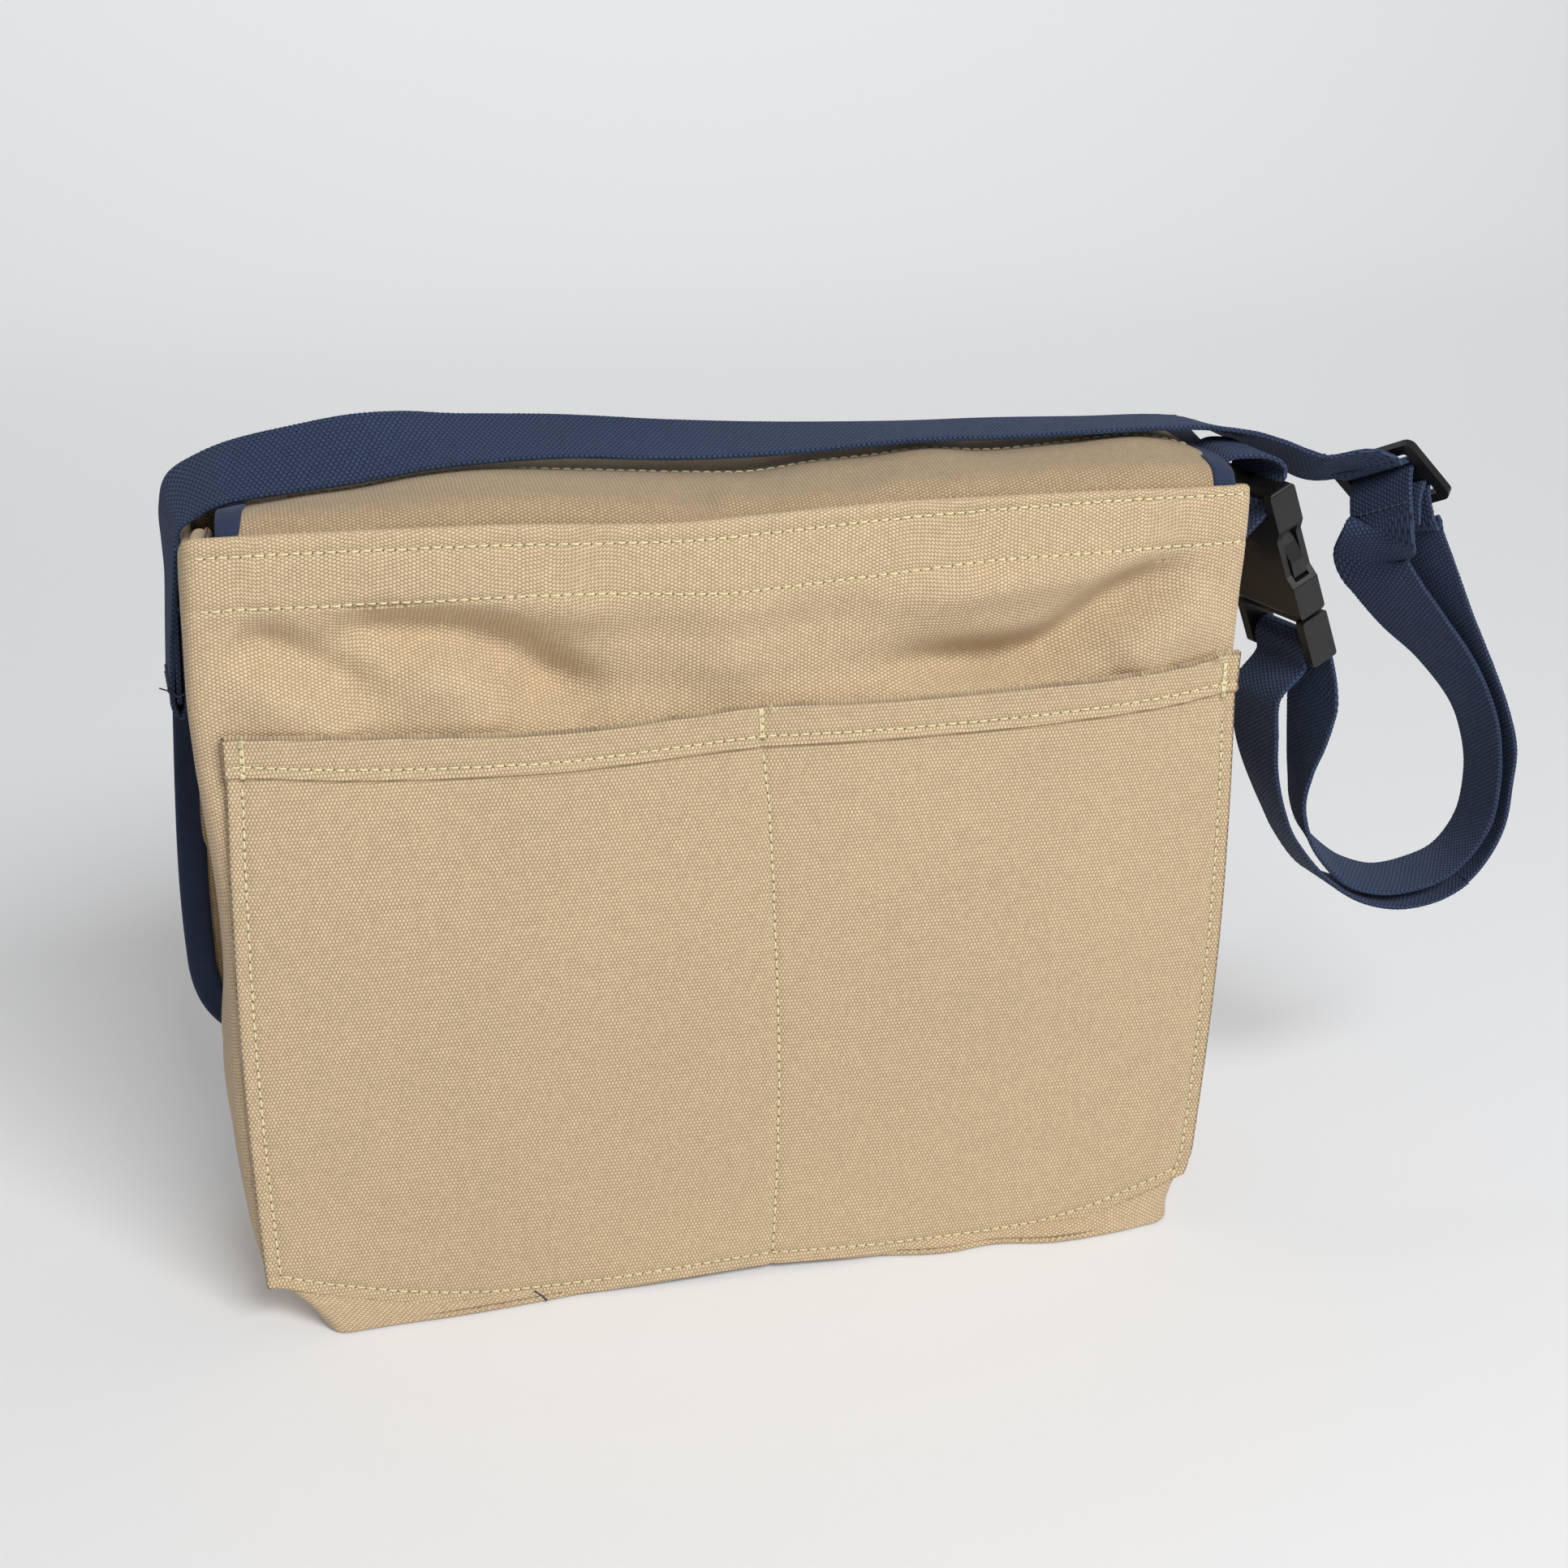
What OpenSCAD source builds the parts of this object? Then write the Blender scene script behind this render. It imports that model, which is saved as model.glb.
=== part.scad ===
// Messenger bag in cotton duck with a webbing strap, a side-release buckle and a three-bar slider.
// Frame: origin at the centre of the base on the floor, +X to the right seen from the pocket side,
// -Y is the pocket side, +Y is the side the flap hangs on, +Z up. Millimetres.

/* [Body] */
// outside width across the gussets
body_w = 324; // [240:1:420]
// outside depth from the pocket side to the flap side
body_d = 90; // [60:1:150]
// height of the top edge above the floor
body_h = 264; // [180:1:340]
// thickness of one layer of duck
cloth_t = 1.4; // [0.8:0.1:2]
// radius of the bottom corners seen from the side
base_r = 14; // [6:1:25]
// height of the turned top hem
hem_h = 21; // [12:1:35]

/* [Pocket] */
// height of the pocket's bottom fold above the floor
pocket_z0 = 16; // [8:1:40]
// height of the pocket's top edge above the floor
pocket_z1 = 206; // [120:1:240]
// height of the pocket's hem
pocket_hem_h = 13; // [8:1:25]
// how far each pocket stands off the back panel at its middle
pocket_bulge = 6; // [5:0.5:14]
// divider seam, measured from the bag's middle
divider_x = 7; // [-80:1:80]

/* [Flap] */
// half width of the flap where it is sewn in
flap_neck = 156; // [110:1:200]
// half width of the hanging part of the flap
flap_half = 172; // [120:1:220]
// height of the flap's bottom edge above the floor
flap_z0 = 56; // [20:1:150]
// corner radius of the hanging flap
flap_r = 30; // [10:1:60]
// width of the edge binding
bind_w = 9; // [5:0.5:14]

/* [Webbing] */
// width of the webbing
web_w = 25; // [20:0.5:30]
// thickness of the webbing
web_t = 1.5; // [1:0.1:2.5]

/* [Buckle and slider] */
// width of the side-release buckle
buckle_w = 34; // [28:0.5:44]
// thickness of the buckle
buckle_t = 10.4; // [8:0.2:14]
// length of the socket half
socket_l = 49; // [40:0.5:60]
// length of the plug's base
plug_l = 18; // [14:0.5:26]
// length of the slider along the strap
slider_l = 26; // [22:0.5:34]
// thickness of the slider
slider_t = 3; // [2:0.2:4]

/* [Hidden] */
$fn = 48;
gap = 0.3;              // clearance between two different soft pieces
run = 0.35;             // clearance between moving plastic pieces
hw = body_w / 2;
hd = body_d / 2;
hem_z = body_h - hem_h;
duck = "#c9b08a";
duck_in = "#bda57f";
navy = "#2f3a55";
black = "#1c1c1d";
e = 0.01;

// the flap's crest, as [y, z] of its middle layer, from the sewn edge to the front fold
hinge_y = -hd + 4;
hinge_z = body_h + 3.2;
fold_y = hd + 3.2;
fold_z = body_h - 0.4;
crest = [
  [hinge_y, hinge_z], [hinge_y + 6, hinge_z + 0.7], [-hd + 17, body_h + 4.8], [-12, body_h + 5.2],
  [0, body_h + 5.2], [14, body_h + 5], [26, body_h + 4.4], [hd - 9, body_h + 3.4],
  [hd - 2, body_h + 2.6], [fold_y - 1.6, body_h + 1.4]];

// The webbing is laid out on a body 324 wide and 264 high. With another width or height what hangs
// at a side is carried out with that side, and all of it goes up or down with the top edge.
laid_hw = 162;
rise = body_h - 264;
function out_x(x) = abs(x) <= laid_hw ? x * hw / laid_hw : x + sign(x) * (hw - laid_hw);
function carried(P) = [for (s = P) [out_x(s[0]), s[1], s[2] + rise, s[3], s[4], s[5]]];

// webbing stations: [x, y, z of the middle, x, y, z of the direction across]
strap_run = carried([
  [-laid_hw - 2.4, 0, 241, 0, 1, 0], [-laid_hw - 3.4, 0, 251, 0, 1, 0],
  [-laid_hw - 4.2, 0, 261, -0.05, 1, 0.08],
  [-laid_hw - 2.4, -0.5, 268.8, -0.1, 0.95, 0.15], [-156, -1, 274.2, -0.2, 0.95, 0.14],
  [-145.5, -1.5, 277, -0.25, 0.9, 0.28], [-129, -2.5, 279.4, -0.2, 0.85, 0.42],
  [-112, -2.5, 281, -0.1, 0.8, 0.5], [-95, -1.5, 281.8, -0.05, 0.85, 0.5],
  [-79, -0.5, 281, -0.05, 0.9, 0.4], [-48, 0, 280, 0, 0.95, 0.3], [-14, 0, 277, 0.05, 0.95, 0.25],
  [21, 0.5, 275.5, 0.1, 1, 0.15], [62, 0.5, 275.5, 0.1, 1, 0], [92, 0.5, 275, 0.1, 1, 0],
  [123, 0, 274.5, 0.1, 0.95, -0.05], [156, 0, 273.5, 0.15, 0.95, -0.1],
  [175, -2, 269, 0.2, 0.9, -0.3], [186, -3.5, 264.5, 0.15, 0.87, -0.4],
  [195, -5, 260, 0.05, 0.85, -0.42], [203, -6.5, 257, -0.1, 0.84, -0.45]]);
loop_out = carried([
  [234.5, -11.5, 234, -0.55, 0.75, -0.35],
  [244, -9.5, 217.5, -0.55, 0.8, -0.25], [252.5, -8.5, 202.5, -0.5, 0.85, -0.15],
  [264.5, -7.5, 183.5, -0.35, 0.93, -0.1], [273, -7, 169, -0.2, 0.97, -0.1],
  [279, -6.5, 154.5, -0.1, 0.98, -0.12], [280.5, -6.5, 141, 0, 0.98, -0.15],
  [279.5, -7, 126, 0, 0.98, -0.15], [275.5, -7, 113.5, 0.1, 0.98, -0.05],
  [267.5, -7.5, 104.5, 0.2, 1, 0], [256, -8, 99.5, 0.3, 0.95, 0], [241.5, -8, 98.5, 0.3, 0.95, -0.05],
  [226, -8, 102.5, 0.25, 0.95, -0.15], [212.5, -8.5, 111, 0.2, 0.95, -0.3],
  [201, -9, 125, 0.25, 0.9, -0.4], [194.5, -8.5, 137.5, 0.15, 0.95, -0.35],
  [189, -8, 153, -0.05, 0.95, -0.2], [186.5, -8, 166, -0.2, 0.95, -0.15],
  [185.5, -8, 180, -0.3, 0.95, -0.1]]);
loop_in = carried([
  [206.8, -7.5, 180, -0.3, 0.95, -0.1], [207, -7.5, 171.5, -0.25, 0.95, -0.15],
  [206, -7.5, 160.5, -0.1, 1, -0.2], [204.5, -8, 150, 0.1, 0.95, -0.25],
  [204.5, -8.5, 138, 0.25, 0.9, -0.3], [209, -8, 125.5, 0.3, 0.93, -0.2],
  [217.5, -7.5, 115, 0.3, 0.95, -0.05], [227.5, -7, 108, 0.3, 0.95, 0],
  [240.5, -7, 104.5, 0.25, 0.95, 0], [255, -6.5, 106, 0.1, 1, 0],
  [266, -6.5, 112, 0.05, 1, -0.1], [273.5, -7, 125, 0, 0.97, -0.2], [275, -7, 141, 0, 0.97, -0.25],
  [273, -6.5, 155, -0.05, 1, -0.2], [267.5, -7, 169, -0.2, 0.98, -0.1],
  [255.5, -8, 186.5, -0.45, 0.87, -0.1], [241, -9.5, 202, -0.6, 0.75, -0.2],
  [228, -11, 217, -0.65, 0.7, -0.28], [222, -11.5, 226, -0.65, 0.68, -0.33]]);

// buckle frame: x across its thickness away from the bag, y across its width, z up along it
buckle_at = [out_x(174.6), -13, 257.2 + rise];
buckle_turn = [0, -22, 17];
// slider frame: x along the strap, y across it, z out of its top face
slider_at = [out_x(227.8), -8.6, 252 + rise];
slider_turn = [-38, 47, 0];

// ---------- small helpers

function unit(v) = v / norm(v);
function lerp(a, b, t) = a + (b - a) * t;
function rz(v, a) = [v.x * cos(a) - v.y * sin(a), v.x * sin(a) + v.y * cos(a), v.z];
function ry(v, a) = [v.x * cos(a) + v.z * sin(a), v.y, v.z * cos(a) - v.x * sin(a)];
function rx(v, a) = [v.x, v.y * cos(a) - v.z * sin(a), v.y * sin(a) + v.z * cos(a)];
function turned(v, t) = rz(ry(rx(v, t.x), t.y), t.z);
// a station given in a turned frame, with the width along that frame's y
function local_station(x, z, at, t) =
  let (p = at + turned([x, 0, z], t), w = turned([0, 1, 0], t)) [p.x, p.y, p.z, w.x, w.y, w.z];

// Catmull-Rom through the stations, n steps between each two
function spline_at(P, i, t) =
  let (a = P[max(i - 1, 0)], b = P[i], c = P[i + 1], d = P[min(i + 2, len(P) - 1)])
    0.5 * (2 * b + (c - a) * t + (2 * a - 5 * b + 4 * c - d) * t * t
      + (3 * b - a - 3 * c + d) * t * t * t);
function smooth(P, n) =
  [for (i = [0:len(P) - 2], k = [0:n - 1]) spline_at(P, i, k / n), P[len(P) - 1]];

// a flat band along stations, w wide and t thick
module ribbon(P, n = 4, w = web_w, t = web_t) {
  S = smooth(P, n);
  last = len(S) - 1;
  mid = [for (s = S) [s[0], s[1], s[2]]];
  tan = [for (i = [0:last]) unit(mid[min(i + 1, last)] - mid[max(i - 1, 0)])];
  side = [for (i = [0:last]) let (v = [S[i][3], S[i][4], S[i][5]]) unit(v - (v * tan[i]) * tan[i])];
  up = [for (i = [0:last]) cross(tan[i], side[i])];
  pts = [for (i = [0:last], c = [[-1, -1], [1, -1], [1, 1], [-1, 1]])
    mid[i] + side[i] * c[0] * w / 2 + up[i] * c[1] * t / 2];
  walls = [for (i = [0:last - 1], k = [0:3]) let (a = 4 * i + k, b = 4 * i + (k + 1) % 4)
    each [[a, b + 4, b], [a, a + 4, b + 4]]];
  polyhedron(pts, concat(walls, [[0, 1, 2], [0, 2, 3]],
    [[4 * last + 2, 4 * last + 1, 4 * last], [4 * last + 3, 4 * last + 2, 4 * last]]));
}

// a profile drawn in [y, z], run along X from -a to a
module along_x(a) {
  translate([-a, 0, 0]) rotate([90, 0, 90]) linear_extrude(2 * a) children();
}

// a strip of thickness t round an open [u, v] line
module strip(P, t) {
  last = len(P) - 1;
  nrm = [for (i = [0:last]) let (d = unit(P[min(i + 1, last)] - P[max(i - 1, 0)])) [-d.y, d.x]];
  polygon(concat([for (i = [0:last]) P[i] + nrm[i] * t / 2],
    [for (i = [last:-1:0]) P[i] - nrm[i] * t / 2]));
}

module rbox(s, r) {
  // box centred on its frame with its four z edges rounded
  linear_extrude(s.z, center = true) offset(r) square([s.x - 2 * r, s.y - 2 * r], center = true);
}

// ---------- the body

module panel(side, z0, z1, t) {
  y0 = side > 0 ? hd - t : -hd;
  translate([-hw + cloth_t + gap, y0, z0]) cube([2 * (hw - cloth_t - gap), t, z1 - z0]);
}

module back_panel() color(duck) panel(-1, base_r + gap / 2, hem_z - gap / 2, cloth_t);
module back_hem() color(duck) panel(-1, hem_z + gap / 2, body_h, 2 * cloth_t);
module front_panel() color(duck) panel(1, base_r + gap / 2, hem_z - gap / 2, cloth_t);
module front_hem() color(duck) panel(1, hem_z + gap / 2, body_h, 2 * cloth_t);

module base_panel() color(duck)
  along_x(hw - cloth_t - gap) difference() {
    translate([0, base_r]) offset(base_r) square([2 * (hd - base_r), e], center = true);
    translate([0, base_r]) offset(base_r - cloth_t) square([2 * (hd - base_r), e], center = true);
    translate([-hd - 1, base_r - gap / 2]) square([2 * hd + 2, 3 * base_r]);
  }

module side_outline(inset) {
  // the body seen from the side, cut back by inset
  offset(-inset) hull() {
    translate([hd - base_r, base_r]) circle(base_r);
    translate([base_r - hd, base_r]) circle(base_r);
    translate([-hd, base_r]) square([body_d, body_h]);
  }
}

module gusset(side, z0, z1, t) {
  translate([side > 0 ? hw - t : -hw, 0, 0]) rotate([90, 0, 90]) linear_extrude(t)
    intersection() {
      side_outline(0);
      translate([-hd, z0]) square([body_d, z1 - z0]);
    }
}

// the gussets close the ends, so the panels stop short of them
module left_gusset() color(duck) gusset(-1, 0, hem_z - gap / 2, cloth_t);
module right_gusset() color(duck) gusset(1, 0, hem_z - gap / 2, cloth_t);
module left_gusset_hem() color(duck) gusset(-1, hem_z + gap / 2, body_h, cloth_t);
module right_gusset_hem() color(duck) gusset(1, hem_z + gap / 2, body_h, cloth_t);

// ---------- the pocket

pocket_half = hw - 4;
function lobe(x, a, b, h) = let (u = (x - a) / (b - a)) h * pow(max(sin(180 * u), 0), 0.35);
pocket_line = [for (k = [0:40]) let (
  left = k <= 20, a = left ? -pocket_half : divider_x, b = left ? divider_x : pocket_half,
  u = (left ? k : k - 20) / 20, x = a + (b - a) * (0.5 - 0.5 * cos(180 * u)))
  [x, -hd - gap - cloth_t / 2 - lobe(x, a, b, pocket_bulge)]];

module pocket_sheet(z0, z1, t) {
  translate([0, 0, z0]) linear_extrude(z1 - z0) difference() {
    strip(pocket_line, t);
    translate([-hw, -hd - gap]) square([2 * hw, 20]);
  }
}
module pocket_panel() color(duck_in) {
  pocket_sheet(pocket_z0, pocket_z1 - pocket_hem_h - gap / 2, cloth_t);
  // the turned-in bottom edge closes both pockets
  translate([0, 0, pocket_z0]) linear_extrude(cloth_t) difference() {
    polygon(concat(pocket_line, [[pocket_half, -hd - gap], [-pocket_half, -hd - gap]]));
    translate([-hw, -hd - gap]) square([2 * hw, 20]);
  }
}
module pocket_hem() color(duck_in)
  pocket_sheet(pocket_z1 - pocket_hem_h + gap / 2, pocket_z1, 2 * cloth_t - 0.4);

// ---------- the flap

module flap_inset() color(duck) // the sewn-in edge of the flap, inside the back hem
  translate([-flap_neck + bind_w, -hd + 2 * cloth_t + gap, hem_z + 2])
    cube([2 * (flap_neck - bind_w), cloth_t, hinge_z - 1.4 - hem_z - 2]);

module crest_sheet(a, b, t) {
  translate([a, 0, 0]) rotate([90, 0, 90]) linear_extrude(b - a) strip(smooth(crest, 3), t);
}
module flap_crest() color(duck) crest_sheet(bind_w - flap_neck, flap_neck - bind_w, cloth_t);
module binding_left() color(navy)
  crest_sheet(-flap_neck, bind_w - flap_neck - gap, cloth_t + 1);
module binding_right() color(navy)
  crest_sheet(flap_neck - bind_w + gap, flap_neck, cloth_t + 1);

drop_top = fold_z - 0.8;
module drop_outline(inset) {
  // flap front in [x, z], its top edge left open to the fold
  a = flap_half - inset;
  r = flap_r - inset;
  z0 = flap_z0 + inset;
  hull() {
    for (s = [-1, 1]) {
      translate([s * (a - r), z0 + r]) circle(r);
      translate([s * (a - 4), body_h - 58]) circle(4);
      translate([s * (flap_neck - inset - 2), drop_top - 2]) square(4, center = true);
    }
  }
}
module drop_slab(t) {
  translate([0, fold_y + 0.6 + t / 2, 0]) rotate([90, 0, 0]) linear_extrude(t) children();
}
module flap_drop() color(duck) drop_slab(cloth_t) drop_outline(bind_w);
module binding_drop() color(navy) drop_slab(cloth_t + 1) difference() {
  drop_outline(0);
  drop_outline(bind_w - gap);
  translate([-flap_neck + bind_w - gap, drop_top - 10]) square([2 * (flap_neck - bind_w + gap), 20]);
}

// ---------- the webbing

strap_end_z = 201 + rise;
module strap_end() color(navy) // two layers sewn to the left gusset
  translate([-hw - gap - 2 * web_t - 0.2, -web_w / 2, strap_end_z])
    cube([2 * web_t + 0.2, web_w, 241 + rise - gap - strap_end_z]);

function sl(x, z) = local_station(x, z, slider_at, slider_turn);
// the strap goes under the first bar, over the middle bar and down past the last one
slider_wrap = [
  sl(-14.5, -6.8), sl(-10, -4.9), sl(-6.9, -2.2), sl(-5.3, 0.6), sl(-4.1, 3.1), sl(-2, 4.7),
  sl(0, 5.1), sl(2, 4.7), sl(4.1, 3.1), sl(5.3, 0.8), sl(6.2, -2), sl(8.6, -5.2), sl(11.8, -8.4)];
module strap_main() color(navy) ribbon(concat(strap_run, slider_wrap), 4);

function bk(x, z) = local_station(x, z, buckle_at, buckle_turn);
plug_bar_z = -(socket_l + plug_l + 0.6) + 3;
// round the plug's lower bar: up its bag side, over, and down its outer side
plug_wrap = [
  bk(-6.2, plug_bar_z - 5), bk(-4.6, plug_bar_z - 0.5), bk(-3.8, plug_bar_z + 2.6),
  bk(-2.2, plug_bar_z + 4.5), bk(0, plug_bar_z + 5), bk(2.2, plug_bar_z + 4.5),
  bk(3.8, plug_bar_z + 2.6), bk(4.6, plug_bar_z - 1), bk(5.4, plug_bar_z - 6)];
module strap_loop() color(navy)
  ribbon(concat([sl(14.2, -10.6)], loop_out, plug_wrap, loop_in), 3);

// the loop's inner end goes up round the slider's middle bar and is sewn to itself
module strap_fold() color(navy) ribbon([
  sl(6.0, -19.2), sl(3.4, -15), sl(-0.6, -8.5), sl(-2.8, -3.6), sl(-3.4, 0), sl(-2.6, 2.2), sl(0, 3.1),
  sl(2.6, 2.2), sl(3.4, 0), sl(3.6, -3.6), sl(4.5, -8.5), sl(6.4, -13), sl(8.4, -17)], 4);

function by_side(x, y, z, w = 0) = [hw + x, y, z + rise, w, 1, 0];
// short tab: from inside the right gusset, over, through the socket's slot and back
module anchor_tab() color(navy) ribbon([
  by_side(-3.4, -12, 246), by_side(-3.3, -12, 257), by_side(-3, -12, 262.6),
  by_side(-0.7, -12, 266.1), by_side(5, -12.3, 267.4, -0.02), by_side(11.5, -12.8, 266.5, -0.1),
  by_side(17, -12.8, 263, -0.2), bk(4.1, -1.5), bk(3.8, -5), bk(0.2, -7.3), bk(-3.6, -5.4),
  bk(-4.9, -8), by_side(6.2, -13, 240, -0.1), by_side(2.6, -12.2, 229), by_side(1.4, -12, 219),
  by_side(1.3, -12, 211)], 4);

// ---------- the buckle

slot_l = web_w + 1.6;
throat = buckle_t - 4.4;      // inside height of the socket
arm_out = buckle_w / 2 - 2.2; // how far the prongs stand out in the side windows
window_z0 = -34.5;
window_z1 = -15.5;

module in_buckle() translate(buckle_at) rotate(buckle_turn) children();

module socket_body() {
  // seen on its broad face: full width at both ends, waisted beside the side windows
  rotate([90, 0, 90]) linear_extrude(buckle_t, center = true) offset(1.2) offset(-1.2)
    polygon([
      for (s = [-1, 1], p = [[1, 0], [1, -14], [0.86, -18], [0.86, -32], [1, -36], [1, -socket_l]])
        let (q = s > 0 ? p : [[1, -socket_l], [1, -36], [0.86, -32], [0.86, -18], [1, -14], [1, 0]][
          search([p], [[1, 0], [1, -14], [0.86, -18], [0.86, -32], [1, -36], [1, -socket_l]])[0]])
        [s * q[0] * buckle_w / 2, q[1]]]);
}

module buckle_socket() color(black) in_buckle() difference() {
  intersection() {
    socket_body();
    translate([0, 0, -socket_l / 2]) rotate([0, 90, 90])
      rbox([socket_l, buckle_t, buckle_w], 2);
  }
  // throat for the plug, open at the bottom
  translate([-throat / 2, -(buckle_w - 5) / 2, -socket_l - 1]) cube([throat, buckle_w - 5, socket_l - 11]);
  // side windows the prongs spring out into
  for (s = [-1, 1]) translate([-throat / 2, s > 0 ? buckle_w / 2 - 6 : -buckle_w / 2 - 2, window_z0])
    cube([throat, 8, window_z1 - window_z0]);
  // webbing slot above the throat, leaving a round bar at the top
  translate([-buckle_t, -slot_l / 2, -10]) cube([2 * buckle_t, slot_l, 5.4]);
  translate([-buckle_t, -slot_l / 2, -5]) cube([buckle_t - 2.6, slot_l, 6]);
  translate([2.6, -slot_l / 2, -5]) cube([buckle_t, slot_l, 6]);
}

plug_top = -socket_l - 0.6;
module plug_base_shape() {
  translate([0, 0, plug_top - plug_l / 2]) rotate([0, 90, 90]) rbox([plug_l, buckle_t, buckle_w], 1.2);
}
module buckle_plug() color(black) in_buckle() {
  difference() {
    plug_base_shape();
    // slot between the shoulder bar and the lower bar
    translate([-buckle_t, -slot_l / 2, plug_top - plug_l + 6]) cube([2 * buckle_t, slot_l, plug_l - 10]);
    for (s = [-1, 1]) translate([s > 0 ? 2.4 : -buckle_t - 2.4, -slot_l / 2, plug_top - plug_l - 1])
      cube([buckle_t, slot_l, 8]);
    translate([1.6, -slot_l / 2, plug_top - 5]) cube([buckle_t, slot_l, 6]);
    translate([-buckle_t - 1.6, -slot_l / 2, plug_top - 5]) cube([buckle_t, slot_l, 6]);
  }
  // centre guide with a rounded nose
  translate([0, 0, plug_top]) rotate([90, 0, 90]) linear_extrude(throat - 2 * run, center = true)
    union() {
      translate([-3, -e]) square([6, 26]);
      translate([0, 26]) circle(3);
    }
}

module prong(s) color(black) in_buckle() {
  // a springing arm with a barb that rests in the side window
  y0 = s * (buckle_w / 2 - 6.2);
  translate([0, 0, plug_top]) rotate([90, 0, 90])
    linear_extrude(throat - 2 * run, center = true) polygon([
      [y0 - s * 1.8, 0.3], [y0 + s * 1.8, 0.3], [y0 + s * 2.2, 10],
      [s * (buckle_w / 2 - 3), 15.6], [s * (arm_out + 0.6), 16.4], [s * (arm_out + 0.9), 22],
      [s * (arm_out - 1.2), 28], [y0 + s * 0.6, 32.6], [y0 - s * 2.6, 33.4], [y0 - s * 3, 29],
      [y0 - s * 1.6, 16]]);
}
module prong_near() prong(-1);
module prong_far() prong(1);

// ---------- the slider

bar_w = 3.5;
mid_bar = 4.2;
slider_w = buckle_w;
module slider_bars() color(black) translate(slider_at) rotate(slider_turn) difference() {
  rbox([slider_l, slider_w, slider_t], 3);
  for (s = [-1, 1]) translate([s * (mid_bar / 2 + (slider_l / 2 - bar_w)) / 2, 0, 0])
    rbox([slider_l / 2 - bar_w - mid_bar / 2, slot_l, slider_t + 2], 1);
}

back_panel();
back_hem();
front_panel();
front_hem();
base_panel();
left_gusset();
right_gusset();
left_gusset_hem();
right_gusset_hem();
pocket_panel();
pocket_hem();
flap_inset();
flap_crest();
binding_left();
binding_right();
flap_drop();
binding_drop();
strap_end();
strap_main();
strap_loop();
strap_fold();
anchor_tab();
buckle_socket();
buckle_plug();
prong_near();
prong_far();
slider_bars();
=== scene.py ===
import math

import bmesh
import bpy
import numpy as np
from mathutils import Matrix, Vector
from mathutils.bvhtree import BVHTree


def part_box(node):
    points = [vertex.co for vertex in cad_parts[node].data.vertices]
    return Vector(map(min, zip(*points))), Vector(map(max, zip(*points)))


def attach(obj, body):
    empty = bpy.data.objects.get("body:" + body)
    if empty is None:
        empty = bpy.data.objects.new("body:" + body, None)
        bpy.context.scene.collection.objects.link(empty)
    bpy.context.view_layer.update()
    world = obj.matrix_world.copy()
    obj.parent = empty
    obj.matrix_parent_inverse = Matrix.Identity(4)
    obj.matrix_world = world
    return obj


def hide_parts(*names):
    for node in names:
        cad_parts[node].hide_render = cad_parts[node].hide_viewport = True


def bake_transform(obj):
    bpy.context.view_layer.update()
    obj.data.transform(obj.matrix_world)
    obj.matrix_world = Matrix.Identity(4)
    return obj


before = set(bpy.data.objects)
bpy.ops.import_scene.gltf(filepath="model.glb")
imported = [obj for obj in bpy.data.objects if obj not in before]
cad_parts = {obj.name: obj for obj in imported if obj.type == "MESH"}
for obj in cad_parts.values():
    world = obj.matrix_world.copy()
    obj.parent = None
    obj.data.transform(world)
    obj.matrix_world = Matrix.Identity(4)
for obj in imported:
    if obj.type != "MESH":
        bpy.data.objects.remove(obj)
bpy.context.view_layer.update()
MM = 0.001

# ---------------------------------------------------------------- sizes from the frame, in mm


def edges(node):
    """The low and high corners of a CAD node's box, in mm."""
    lo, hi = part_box(node)
    return np.array(lo) / MM, np.array(hi) / MM


back_lo, _ = edges("back_panel")
_, hem_hi = edges("back_hem")
drop_lo, _ = edges("binding_drop")
HALF_D = -back_lo[1]
BODY_H = hem_hi[2]
CLOTH = 1.4
WEB_W, WEB_T = 25.0, 1.5

# ---------------------------------------------------------------- camera and lamps


def make_camera():
    """The camera: a little above the bag, and turned to show its left gusset."""
    cam = bpy.data.objects.new("camera", bpy.data.cameras.new("camera"))
    bpy.context.scene.collection.objects.link(cam)
    target = Vector((24, 7, 155)) * MM
    azimuth, elevation, distance = math.radians(-13), math.radians(22), 820 * MM
    back = Vector((math.sin(azimuth) * math.cos(elevation),
                   -math.cos(azimuth) * math.cos(elevation), math.sin(elevation)))
    cam.location = target + back * distance
    cam.rotation_mode = "QUATERNION"
    cam.rotation_quaternion = (-back).to_track_quat("-Z", "Y")
    cam.data.lens, cam.data.sensor_width = 55.9, 36.0
    cam.data.clip_start, cam.data.clip_end = 0.01, 50
    bpy.context.scene.camera = cam


def area_light(name, at, aim, size, power, colour=(1, 1, 1)):
    """A soft box in metres and watts, pointed from one place at another."""
    data = bpy.data.lights.new(name, "AREA")
    data.shape, data.size, data.size_y = "RECTANGLE", size[0], size[1]
    data.energy, data.color = power, colour
    lamp = bpy.data.objects.new(name, data)
    lamp.location = at
    lamp.rotation_mode = "QUATERNION"
    lamp.rotation_quaternion = (Vector(aim) - Vector(at)).to_track_quat("-Z", "Y")
    bpy.context.scene.collection.objects.link(lamp)


make_camera()

# ---------------------------------------------------------------- shapes from numbers


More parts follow.
